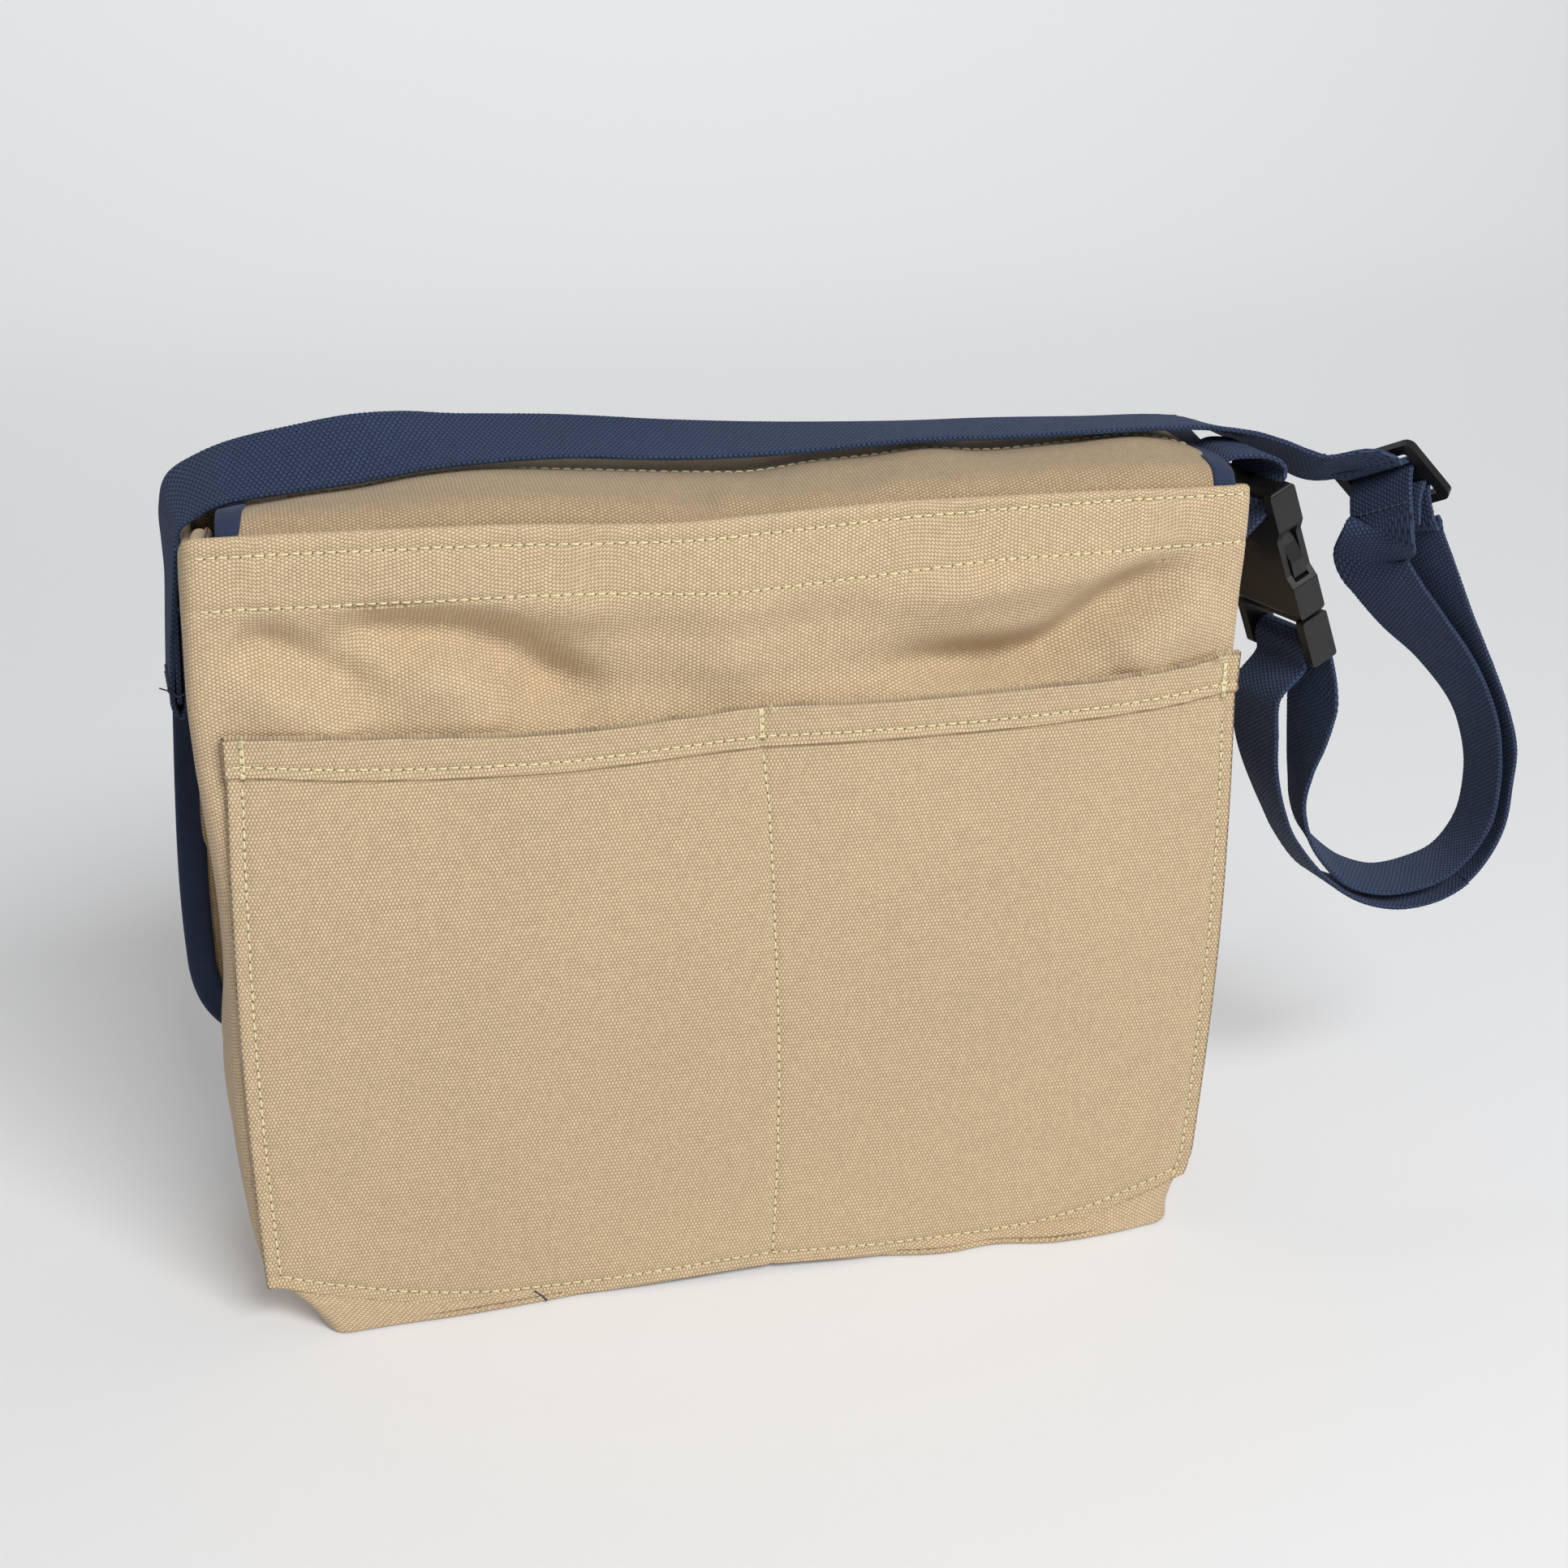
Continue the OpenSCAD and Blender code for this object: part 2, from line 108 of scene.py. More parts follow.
def curve(points):
    """A smooth function through (t, value) points, held flat outside them."""
    p = np.array(points, float)
    t, v = p[:, 0], p[:, 1]
    slope = np.gradient(v, t)
    slope[0] = slope[-1] = 0

    def at(q):
        q = np.clip(np.asarray(q, float), t[0], t[-1])
        i = np.clip(np.searchsorted(t, q) - 1, 0, len(t) - 2)
        h = t[i + 1] - t[i]
        s = (q - t[i]) / h
        return ((2 * s**3 - 3 * s**2 + 1) * v[i] + (s**3 - 2 * s**2 + s) * h * slope[i]
                + (3 * s**2 - 2 * s**3) * v[i + 1] + (s**3 - s**2) * h * slope[i + 1])
    return at


def ease(a, b, x):
    """0 before a, 1 after b, smooth between."""
    s = np.clip((np.asarray(x, float) - a) / (b - a), 0, 1)
    return s * s * (3 - 2 * s)


def fold_line(points, width, height, x, z, taper=0.35):
    """A soft ridge (height > 0) or valley (height < 0) along a line of (x, z) points."""
    pts = np.array(points, float)
    n = 24
    seg = np.linspace(0, len(pts) - 1, n)
    line = np.stack([np.interp(seg, range(len(pts)), pts[:, k]) for k in (0, 1)], 1)
    for _ in range(4):
        line = np.concatenate([line[:1], (line[:-2] + line[1:-1] * 2 + line[2:]) / 4, line[-1:]])
    x, z = np.broadcast_arrays(x, z)
    best = np.full(x.shape, 1e9)
    at = np.zeros(x.shape)
    for k in range(n - 1):
        (a, b), (c, d) = line[k], line[k + 1]
        t = ((x - a) * (c - a) + (z - b) * (d - b)) / ((c - a) ** 2 + (d - b) ** 2)
        if 0 < k < n - 2:
            t = np.clip(t, 0, 1)
        else:
            t = np.clip(t, 0 if k else -4, 5 if k else 1)
        gap = (x - a - t * (c - a)) ** 2 + (z - b - t * (d - b)) ** 2
        near = gap < best
        best = np.where(near, gap, best)
        at = np.where(near, (k + t) / (n - 1), at)
    ends = ease(-0.17, taper - 0.12, at) * ease(-0.17, taper - 0.12, 1 - at)
    return height * ends * np.exp(-best / width**2)


def ripple(x, z, seed, scale, octaves=3):
    """Gentle waviness from a few fixed sine waves."""
    rng = np.random.default_rng(seed)
    total, amount = 0.0, 1.0
    for _ in range(octaves):
        for _ in range(3):
            a = rng.uniform(0, 2 * math.pi)
            phase = rng.uniform(0, 2 * math.pi)
            total = total + amount * np.sin(
                (x * math.cos(a) + z * math.sin(a)) / scale * 2 * math.pi + phase) / 3
        scale, amount = scale / 1.9, amount * 0.5
    return total


def normals_of(P):
    """Unit normals of a grid of points."""
    du = np.gradient(P, axis=0)
    dv = np.gradient(P, axis=1)
    n = np.cross(du, dv)
    return n / np.maximum(np.linalg.norm(n, axis=2, keepdims=True), 1e-9)


def new_object(name, verts, faces, uvs=None, material=None, smooth=True):
    """A mesh object from mm coordinates. uvs is one (u, v) in mm for each vertex."""
    me = bpy.data.meshes.new(name)
    verts = np.asarray(verts, float) * MM
    faces = [f for f in faces]
    me.from_pydata(verts.tolist(), [], faces)
    if uvs is not None:
        layer = me.uv_layers.new(name="cloth")
        loops = np.zeros(len(me.loops), np.int32)
        me.loops.foreach_get("vertex_index", loops)
        flat = (np.asarray(uvs, float)[loops] * MM).astype(np.float32)
        layer.data.foreach_set("uv", flat.ravel())
    me.update()
    if smooth:
        me.polygons.foreach_set("use_smooth", np.ones(len(me.polygons), bool))
    ob = bpy.data.objects.new(name, me)
    bpy.context.scene.collection.objects.link(ob)
    if material:
        me.materials.append(material)
    return ob


def grid_faces(nu, nv, base=0, flip=False, wrap=False):
    i = np.arange(nu if wrap else nu - 1)[:, None]
    j = np.arange(nv - 1)[None, :]
    a = (base + i * nv + j).ravel()
    b = (base + ((i + 1) % nu) * nv + j).ravel()
    quads = np.stack([a, b, b + 1, a + 1], 1)
    return (quads[:, ::-1] if flip else quads).tolist()


def cloth_sheet(name, P, uv, thick, material, wrap=False, out=1, soft_edge=True):
    """A sheet with thickness from a grid of outer points. out=1 if du x dv points outward."""
    nu, nv, _ = P.shape
    if wrap:
        ext = np.concatenate([P[-1:], P, P[:1]])
        n = normals_of(ext)[1:-1] * out
    else:
        n = normals_of(P) * out
    for _ in range(8):  # evened out, so that the inside of a tight roll stays inside
        if wrap:
            n = (np.roll(n, 1, 0) + 2 * n + np.roll(n, -1, 0)) / 4
        else:
            n[1:-1] = (n[:-2] + 2 * n[1:-1] + n[2:]) / 4
        n[:, 1:-1] = (n[:, :-2] + 2 * n[:, 1:-1] + n[:, 2:]) / 4
    n /= np.maximum(np.linalg.norm(n, axis=2, keepdims=True), 1e-9)
    inner = P - n * thick
    count = nu * nv
    verts = [P.reshape(-1, 3), inner.reshape(-1, 3)]
    uvs = [uv.reshape(-1, 2), uv.reshape(-1, 2)]
    faces = grid_faces(nu, nv, 0, flip=out < 0, wrap=wrap)
    faces += grid_faces(nu, nv, count, flip=out > 0, wrap=wrap)
    # rims, each with a rounded middle row
    base = 2 * count
    rims = [([k * nv for k in range(nu)], wrap, (0, -1)),
            ([k * nv + nv - 1 for k in range(nu)], wrap, (0, 1))]
    if not wrap:
        rims += [(list(range(nv)), False, (-1, 0)),
                 (list(range(count - nv, count)), False, (1, 0))]
    flatP, flatI = P.reshape(-1, 3), inner.reshape(-1, 3)
    du, dv = np.gradient(P, axis=0), np.gradient(P, axis=1)
    for ids, closed, side in rims:
        ids = np.array(ids)
        push = (du if side[0] else dv).reshape(-1, 3)[ids] * (side[0] or side[1])
        push = push / np.maximum(np.linalg.norm(push, axis=1, keepdims=True), 1e-9)
        mid = (flatP[ids] + flatI[ids]) / 2 + push * thick * (0.4 if soft_edge else 0.05)
        verts.append(mid)
        uvs.append(uv.reshape(-1, 2)[ids])
        m = len(ids)
        for k in range(m if closed else m - 1):
            k2 = (k + 1) % m
            a, b = int(ids[k]), int(ids[k2])
            c, d = base + k, base + k2
            one, two = [a, b, d, c], [c, d, b + count, a + count]
            flip = (side in ((0, 1), (-1, 0))) == (out > 0)
            faces += [one[::-1], two[::-1]] if flip else [one, two]
        base += m
    return new_object(name, np.concatenate(verts), faces, np.concatenate(uvs), material)


# ---------------------------------------------------------------- materials


def node_group(name, inputs, outputs):
    g = bpy.data.node_groups.new(name, "ShaderNodeTree")
    for kind, n, default in inputs:
        s = g.interface.new_socket(n, in_out="INPUT", socket_type=kind)
        if default is not None:
            s.default_value = default
    for kind, n in outputs:
        g.interface.new_socket(n, in_out="OUTPUT", socket_type=kind)
    return g, g.nodes.new("NodeGroupInput"), g.nodes.new("NodeGroupOutput")


class Tree:
    """Short calls for adding nodes to a tree."""

    def __init__(self, tree):
        self.t = tree

    def put(self, kind, **props):
        n = self.t.nodes.new(kind)
        for k, v in props.items():
            setattr(n, k, v)
        return n

    def wire(self, value, socket):
        if isinstance(value, bpy.types.NodeSocket):
            self.t.links.new(value, socket)
        elif value is not None:
            socket.default_value = value

    def math(self, op, a, b=None, c=None, clamp=False):
        n = self.put("ShaderNodeMath", operation=op, use_clamp=clamp)
        for k, v in enumerate((a, b, c)):
            self.wire(v, n.inputs[k])
        return n.outputs[0]

    def mix(self, a, b, t, blend="MIX"):
        n = self.put("ShaderNodeMix", data_type="RGBA", blend_type=blend)
        self.wire(t, n.inputs[0])
        self.wire(a, n.inputs[6])
        self.wire(b, n.inputs[7])
        return n.outputs[2]

    def span(self, v, a, b, c, d):
        n = self.put("ShaderNodeMapRange")
        self.wire(v, n.inputs[0])
        for k, x in enumerate((a, b, c, d)):
            self.wire(x, n.inputs[k + 1])
        return n.outputs[0]

    def noise(self, vec, scale, detail=2.0, rough=0.5):
        n = self.put("ShaderNodeTexNoise")
        self.wire(vec, n.inputs["Vector"])
        n.inputs["Scale"].default_value = scale
        n.inputs["Detail"].default_value = detail
        n.inputs["Roughness"].default_value = rough
        return n.outputs["Fac"]


def weave_group():
    """Plain weave from cloth coordinates: rows of rounded yarn crowns, offset like bricks.

    Row and Column are the pitches in metres. Height runs 0..1, Yarn is a value that
    changes from yarn to yarn."""
    g, gi, go = node_group("plain_weave", [
        ("NodeSocketFloat", "Row", 0.0012), ("NodeSocketFloat", "Column", 0.00113),
        ("NodeSocketFloat", "Wobble", 0.18), ("NodeSocketFloat", "Along", 0.0)],
        [("NodeSocketFloat", "Height"), ("NodeSocketFloat", "Yarn")])
    t = Tree(g)
    uv = t.put("ShaderNodeUVMap", uv_map="cloth").outputs[0]
    wob = t.noise(uv, 520.0, 1.0)
    wob2 = t.noise(uv, 90.0, 1.0)
    sep = t.put("ShaderNodeSeparateXYZ")
    t.wire(uv, sep.inputs[0])
    shift = t.math("MULTIPLY", t.math("SUBTRACT", wob, 0.5), gi.outputs["Wobble"])
    shift2 = t.math("MULTIPLY", t.math("SUBTRACT", wob2, 0.5), 0.7)
    col = t.math("ADD", t.math("ADD", t.math("DIVIDE", sep.outputs[0], gi.outputs["Column"]),
                               shift), shift2)
    row = t.math("ADD", t.math("DIVIDE", sep.outputs[1], gi.outputs["Row"]), shift)
    # crowns sit at (i, j) with i + j even
    ci = t.math("FLOOR", col)
    half = t.math("MULTIPLY", t.math("MODULO", t.math("ABSOLUTE", ci), 2.0), 0.5)
    fx = t.math("SUBTRACT", t.math("FRACT", col), 0.5)
    fy = t.math("SUBTRACT", t.math("FRACT", t.math("ADD", row, half)), 0.5)
    ex = t.math("MULTIPLY", t.math("MULTIPLY", fx, fx), 2.5)
    ey = t.math("MULTIPLY", t.math("MULTIPLY", fy, fy), 4.3)
    crown = t.math("SUBTRACT", 1.0, t.math("ADD", ex, ey), clamp=True)
    t.wire(t.math("POWER", crown, 0.7), go.inputs["Height"])
    comb = t.put("ShaderNodeCombineXYZ")
    t.wire(ci, comb.inputs[0])
    t.wire(t.math("FLOOR", t.math("ADD", row, half)), comb.inputs[1])
    white = t.put("ShaderNodeTexWhiteNoise", noise_dimensions="3D")
    t.wire(comb.outputs[0], white.inputs[0])
    t.wire(white.outputs["Value"], go.inputs["Yarn"])
    return g


def fabric_group():
    """Colour, roughness and bump height of a woven cloth from its weave and soft stains; the weave's
    hollows get painted shade.
    """
    g, gi, go = node_group("woven_finish", [
        ("NodeSocketColor", "Crown", (0.6, 0.45, 0.28, 1)),
        ("NodeSocketColor", "Gap", (0.35, 0.25, 0.15, 1)),
        ("NodeSocketFloat", "Height", 0.5), ("NodeSocketFloat", "Yarn", 0.5),
        ("NodeSocketFloat", "Blotch", 0.1), ("NodeSocketFloat", "Fuzz", 0.1)],
        [("NodeSocketColor", "Colour"), ("NodeSocketFloat", "Roughness"),
         ("NodeSocketFloat", "Relief")])
    t = Tree(g)
    place = t.put("ShaderNodeTexCoord").outputs["Object"]
    big = t.noise(place, 14.0, 3.0, 0.55)
    fine = t.noise(place, 2600.0, 2.0, 0.6)
    mid = t.noise(place, 210.0, 2.0, 0.6)
    # the hollows between yarn crowns take the darker Gap colour: the yarn's own colour with painted
    # shade of the weave's hollows
    base = t.mix(gi.outputs["Gap"], gi.outputs["Crown"],
                 t.span(gi.outputs["Height"], 0.05, 0.75, 0.0, 1.0))
    # the amount of light each yarn gives back differs a little
    amount = t.math("ADD", 1.0, t.math("MULTIPLY", t.math("SUBTRACT", big, 0.5),
                                       gi.outputs["Blotch"]))
    amount = t.math("ADD", amount, t.math("MULTIPLY", t.math("SUBTRACT", gi.outputs["Yarn"], 0.5),
                                          0.14))
    amount = t.math("ADD", amount, t.math("MULTIPLY", t.math("SUBTRACT", fine, 0.5),
                                          gi.outputs["Fuzz"]))
    amount = t.math("ADD", amount, t.math("MULTIPLY", t.math("SUBTRACT", mid, 0.5), 0.10))
    comb = t.put("ShaderNodeCombineColor")
    for k in range(3):
        t.wire(amount, comb.inputs[k])
    t.wire(t.mix(base, comb.outputs[0], 1.0, "MULTIPLY"), go.inputs["Colour"])
    t.wire(t.span(gi.outputs["Height"], 0.0, 1.0, 0.98, 0.86), go.inputs["Roughness"])
    t.wire(t.math("ADD", gi.outputs["Height"], t.math("MULTIPLY", fine, 0.25)),
           go.inputs["Relief"])
    return g


WEAVE, FINISH = weave_group(), fabric_group()


def principled(name):
    m = bpy.data.materials.new(name)
    m.use_nodes = True
    t = Tree(m.node_tree)
    return m, t, m.node_tree.nodes["Principled BSDF"]


def cloth_material(name, crown, gap, row=0.0012, column=0.00113, depth=0.00022,
                   sheen=0.15, blotch=0.12, fuzz=0.10, sheen_tint=(1, 0.95, 0.85, 1)):
    """Woven cloth: light crowns over darker gaps, the gaps' darkness being painted shade, with blotches
    and fuzz.
    """
    m, t, shader = principled(name)
    w = t.put("ShaderNodeGroup")
    w.node_tree = WEAVE
    w.inputs["Row"].default_value, w.inputs["Column"].default_value = row, column
    f = t.put("ShaderNodeGroup")
    f.node_tree = FINISH
    f.inputs["Crown"].default_value, f.inputs["Gap"].default_value = crown, gap
    f.inputs["Blotch"].default_value, f.inputs["Fuzz"].default_value = blotch, fuzz
    t.wire(w.outputs["Height"], f.inputs["Height"])
    t.wire(w.outputs["Yarn"], f.inputs["Yarn"])
    t.wire(f.outputs["Colour"], shader.inputs["Base Color"])
    t.wire(f.outputs["Roughness"], shader.inputs["Roughness"])
    bump = t.put("ShaderNodeBump")
    bump.inputs["Strength"].default_value = 0.8
    bump.inputs["Distance"].default_value = depth
    t.wire(f.outputs["Relief"], bump.inputs["Height"])
    t.wire(bump.outputs[0], shader.inputs["Normal"])
    shader.inputs["Sheen Weight"].default_value = sheen
    shader.inputs["Sheen Roughness"].default_value = 0.6
    shader.inputs["Sheen Tint"].default_value = sheen_tint
    shader.inputs["Specular IOR Level"].default_value = 0.25
    return m


def thread_material(name, light, dark):
    """Sewing thread in two shades, mottled finely."""
    m, t, shader = principled(name)
    place = t.put("ShaderNodeTexCoord").outputs["Object"]
    twist = t.noise(place, 3200.0, 2.0, 0.6)
    t.wire(t.mix(dark, light, t.span(twist, 0.3, 0.7, 0.0, 1.0)), shader.inputs["Base Color"])
    bump = t.put("ShaderNodeBump")
    bump.inputs["Distance"].default_value = 0.0001
    t.wire(twist, bump.inputs["Height"])
    t.wire(bump.outputs[0], shader.inputs["Normal"])
    t.wire(t.span(twist, 0.2, 0.8, 0.55, 0.75), shader.inputs["Roughness"])
    shader.inputs["Sheen Weight"].default_value = 0.1
    return m


def plastic_material(name, base, rough, grain, grain_scale=1500.0):
    """Moulded plastic with a fine spark texture and slightly polished wear."""
    m, t, shader = principled(name)
    place = t.put("ShaderNodeTexCoord").outputs["Object"]
    spark = t.noise(place, grain_scale, 3.0, 0.65)
    cloud = t.noise(place, 60.0, 2.0)
    t.wire(t.mix((*base, 1), (*[c * 1.5 + 0.004 for c in base], 1), t.span(cloud, 0.3, 0.7, 0, 1)),
           shader.inputs["Base Color"])
    t.wire(t.span(t.math("ADD", t.math("MULTIPLY", cloud, 0.7), t.math("MULTIPLY", spark, 0.3)),
                  0.3, 0.7, rough - 0.06, rough + 0.08), shader.inputs["Roughness"])
    bump = t.put("ShaderNodeBump")
    bump.inputs["Strength"].default_value = grain
    bump.inputs["Distance"].default_value = 0.00012
    t.wire(spark, bump.inputs["Height"])
    t.wire(bump.outputs[0], shader.inputs["Normal"])
    return m


DUCK = cloth_material("duck", (0.660, 0.497, 0.314, 1), (0.305, 0.217, 0.125, 1))
DUCK_TURNED = cloth_material("duck_turned", (0.660, 0.497, 0.314, 1), (0.305, 0.217, 0.125, 1),
                             row=0.00113, column=0.0012)
# the flap is the same duck cloth, coloured darker: painted shade for the crest, which lies in the
# strap's shadow and the hollow behind the hem; the flap's drop sheet shares this colour
DUCK_FLAP_PAINTED_SHADE = cloth_material("duck_flap_painted_shade", (0.48, 0.356, 0.216, 1), (0.22, 0.155, 0.088, 1))
BINDING = cloth_material("binding", (0.026, 0.040, 0.085, 1), (0.007, 0.012, 0.03, 1),
                         row=0.00062, column=0.00062, depth=0.00008, sheen=0.12,
                         sheen_tint=(0.6, 0.7, 1, 1))
THREAD = thread_material("thread", (0.90, 0.82, 0.52, 1), (0.62, 0.54, 0.29, 1))
# dark brown discs laid at each stitch end: painted shade in the needle holes
HOLE_PAINTED_SHADE = thread_material("needle_hole_painted_shade", (0.20, 0.14, 0.075, 1), (0.11, 0.075, 0.04, 1))
NAVY_THREAD = thread_material("navy_thread", (0.05, 0.07, 0.13, 1), (0.012, 0.016, 0.03, 1))
PLASTIC = plastic_material("plastic", (0.004, 0.004, 0.0042), 0.30, 0.28)

# ---------------------------------------------------------------- the body's shape

hem_top = curve([(-166, 266.9), (-120, 266.3), (-77, 265.6), (-45, 264), (-21, 262.8),
                 (10, 263.6), (41, 264.6), (100, 264.3), (166, 263)])
row_one = curve([(-162, 261.5), (-120, 260.9), (-77, 260), (-40, 258.4), (-11, 257.6), (15, 258.6),
                 (41, 259.8), (101, 261.3), (163, 261)])
row_two = curve([(-163, 245.6), (-111, 244.2), (-54, 243.7), (-8, 241), (41, 242.6), (84, 245.4),
                 (125, 245.6), (162.5, 245.4)])
pocket_top = curve([(-157, 207), (-148, 206.6), (-110, 204.2), (-80, 202.3), (-55, 201.5),
                    (-20, 203), (4, 204.3), (30, 203.6), (52, 203.3), (90, 203.8), (121, 204.8),
                    (145, 207), (159.5, 209.5)])
pocket_fold = curve([(-157, 194.8), (-120, 191.6), (-98, 190), (-56, 189), (-20, 190.2), (6, 191),
                     (30, 190.6), (52, 190.5), (104, 191.6), (140, 194), (160, 196.6)])
pocket_low = curve([(-159, 17.6), (-140, 12.5), (-120, 7.5), (-103, 4.3), (-85, 1.9), (-62, 1.2),
                    (-30, 2.0), (7.6, 2.8), (45, 1.6), (86, 1.5), (105, 3.0), (123, 6.6),
                    (140, 12.2), (152, 16.6), (160, 19.5)])
pocket_left = curve([(0, -158.4), (18, -159), (70, -160.2), (110, -160.2), (160, -158.8),
                     (207, -157)])
pocket_right = curve([(0, 152), (18, 154.6), (24, 156.4), (34, 157.6), (60, 159.5), (110, 161.7),
                      (160, 161.7), (210, 160.5)])
body_left = curve([(0, -152), (18, -158.5), (40, -161.4), (82, -163.2), (110, -162.4),
                   (150, -162), (180, -164.4), (196, -166), (211, -166.8), (234, -166.3), (255, -165.2),
                   (267, -164.6)])
body_right = curve([(0, 150), (15, 155.5), (40, 157.6), (70, 160.6), (110, 162.6), (160, 162.8),
                    (205, 162), (225, 162.6), (245, 163.4), (264, 163.8)])
gusset_out = curve([(0, 1.5), (18, 3.0), (41, 4.0), (62, 3.6), (82, 4.2), (106, 2.4), (130, 2.4),
                    (149, 2.8), (172, 2.6), (188, 1.6), (200, 0.8), (218, 0.3), (254, 0.3), (267, 0.2)])
floor_y = curve([(-150, -52), (-136, -52.6), (-118, -51.8), (-100, -51.5), (-62, -48.3),
                 (-20, -43.4), (5, -43.6), (44, -47.9), (68, -51.5), (85, -50), (106, -53.6),
                 (130, -52), (146, -49.5)])


def back_relief(x, z):
    """How far the back face stands out from its plane, in mm."""
    h = 1.2 * np.sin(np.pi * np.clip((x + 162) / 324, 0, 1)) + 0 * z
    # the hem is stiffer than the cloth below it, which falls back and then swells again
    h = h - 4.6 * ease(243, 226, z) * ease(192, 214, z) * (0.55 + 0.45 * np.cos((x + 8) / 44))
    h = h + fold_line([(-150, 236), (-138, 230), (-125, 222), (-112, 214)], 8.5, -8.6, x, z)
    h = h + fold_line([(-150, 222), (-132, 214), (-118, 204)], 11.0, 4.2, x, z)
    h = h + fold_line([(-122, 236), (-102, 235), (-82, 231), (-66, 221), (-50, 209)], 9.0, -11.5, x, z)
    h = h + fold_line([(-100, 222), (-84, 214), (-72, 206)], 12.0, 5.0, x, z)
    h = h + fold_line([(-108, 250), (-84, 248), (-60, 244), (-40, 236)], 8.0, 2.8, x, z)
    h = h + fold_line([(-5, 252), (-3, 240), (-5, 224), (-6, 210)], 15.0, 5.4, x, z)
    h = h + fold_line([(139, 237), (124, 230), (111, 221), (99, 212), (82, 208), (58, 210)],
                      8.5, -12.5, x, z)
    h = h + fold_line([(48, 232), (83, 238), (104, 242), (128, 245)], 9.0, 4.6, x, z)
    h = h + fold_line([(150, 226), (134, 218), (122, 208)], 12.0, 4.4, x, z)
    for cx, wx in ((68, 34), (-62, 30)):
        h = h - 3.6 * np.exp(-((x - cx) / wx) ** 2 - ((z - 211) / 8) ** 2)
    h = h * (1 - 0.75 * ease(-11, 5, z - row_two(x)))
    h = h + 0.8 * ripple(x, z, 3, 120.0) * ease(0, 30, z)
    # thickness of the turned hem, a step at its stitched edge
    hem = ease(-1.0, 1.2, z - (row_two(x) - 2.2))
    h = h + 0.35 * hem
    for row in (row_one, row_two):
        h = h - 0.6 * np.exp(-((z - row(x)) / 1.4) ** 2)
    # cloth behind the pocket stays clear of it
    behind = ease(-2, 10, pocket_top(x) - z)
    return h * (1 - behind) - 1.6 * behind


def body_point(side, s, z):
    """Outer surface of the body. side is back, right, front or left; s runs along it."""
    z = np.asarray(z, float)
    low = np.clip(1 - z / 19.0, 0, 1)
    xl, xr = body_left(z), body_right(z)
    out_l, out_r = gusset_out(z), gusset_out(z) * 0.8
    if side == "back":
        x = xl + (xr - xl) * s
        y = -HALF_D - back_relief(x, z)
        x0 = -139 + (148 + 139) * s
        # below the pocket the cloth rolls out to the floor
        roll = np.clip(1 - (z / (np.maximum(pocket_low(x), 5) + 3.5)) ** 1.7, 0, 1)
        y = y + (floor_y(x0) - y) * roll
        x = x + (x0 - x) * low
    elif side == "front":
        x = xr + (xl - xr) * s
        wave = 0.8 * ripple(x, z, 11, 130.0)
        y = HALF_D - 1.5 - 2.5 * np.sin(np.pi * s) * ease(0, 200, z) + wave * np.sin(np.pi * s)
        x0 = 150 - (150 + 146) * s
        y0 = 47 + 1.5 * np.cos(s * 9)
        x = x + (x0 - x) * low
        y = y + (y0 - y) * low
    elif side == "right":
        y = -HALF_D - back_relief(xr, z) + (2 * HALF_D - 1.5 + back_relief(xr, z)) * s
        swell = np.sin(np.pi * s) ** 0.8
        crease = 1.2 * np.exp(-((s - 0.5) / 0.10) ** 2) * ease(250, 120, z) * ease(0, 60, z)
        x = xr + (out_r - crease) * swell + 0.5 * ripple(y, z, 21, 70.0) * swell
        x0 = 148 + 10 * np.sin(np.pi * np.clip(s * 1.2, 0, 1)) * (1 - s * 0.4) + 2 * s
        y0 = -49.5 + 96.5 * s
        x = x + (x0 - x) * low
        y = y + (y0 - y) * low
    else:
        y = HALF_D - 1.5 - (2 * HALF_D - 1.5 + back_relief(xl, z)) * s
        swell = np.sin(np.pi * s) ** 0.8
        crease = 1.2 * np.exp(-((s - 0.5) / 0.10) ** 2) * ease(250, 120, z) * ease(0, 60, z)
        x = xl - (out_l - crease) * swell - 0.5 * ripple(y, z, 22, 70.0) * swell
        x0 = -146 - 7.5 * np.sin(np.pi * s) ** 0.8 + 7 * s
        y0 = 47 - 99.6 * s
        x = x + (x0 - x) * low
        y = y + (y0 - y) * low
    return x, y


LEVELS = np.concatenate([np.arange(0, 24, 1.2), np.arange(24, 200, 1.9), np.arange(200, 239, 1.3),
                         np.arange(239, 248, 0.6), np.arange(248, 255, 1.0),
                         np.arange(255, 264.01, 0.6)])
SIDES = (("back", 200), ("right", 44), ("front", 120), ("left", 44))


def ring_height(level, side, s):
    """Height of a ring where it passes a point of one side. The rings follow the hem's rows."""
    x = {"back": -163 + 326 * s, "right": 163 + 0 * s, "front": 163 - 326 * s,
         "left": -163 + 0 * s}[side]
    front = {"back": 0 * s, "right": ease(0, 1, s), "front": 1 + 0 * s, "left": ease(1, 0, s)}[side]
    rows = [0.9 + 0 * x, row_two(x), row_one(x), hem_top(x) - 1.2]
    plain = [0.9, 240.5, 256.5, BODY_H - 4.2]
    rows = [a + (b - a) * front for a, b in zip(rows, plain)]
    dip = {"back": 0 * s, "front": 0 * s, "left": 8.5 * ease(1.0, 0.8, s) * ease(0, 0.3, s),
           "right": 3.0 * ease(0, 0.2, s) * ease(1, 0.7, s)}[side]
    rows = [r - share * dip for r, share in zip(rows, (0, 0.45, 1, 1))]
    k = np.interp(level, (0, 243.5, 259.5, 264), (0, 1, 2, 3))
    i = min(int(k), 2)
    return rows[i] + (rows[i + 1] - rows[i]) * (k - i)


def body_ring(level):
    """Points round the body at one level, from the back left corner."""
    parts = []
    for side, n in SIDES:
        s = np.arange(n) / n
        z = ring_height(level, side, s)
        x, y = body_point(side, s, z)
        parts.append(np.stack([x, y, z], 1))
    return np.concatenate(parts)


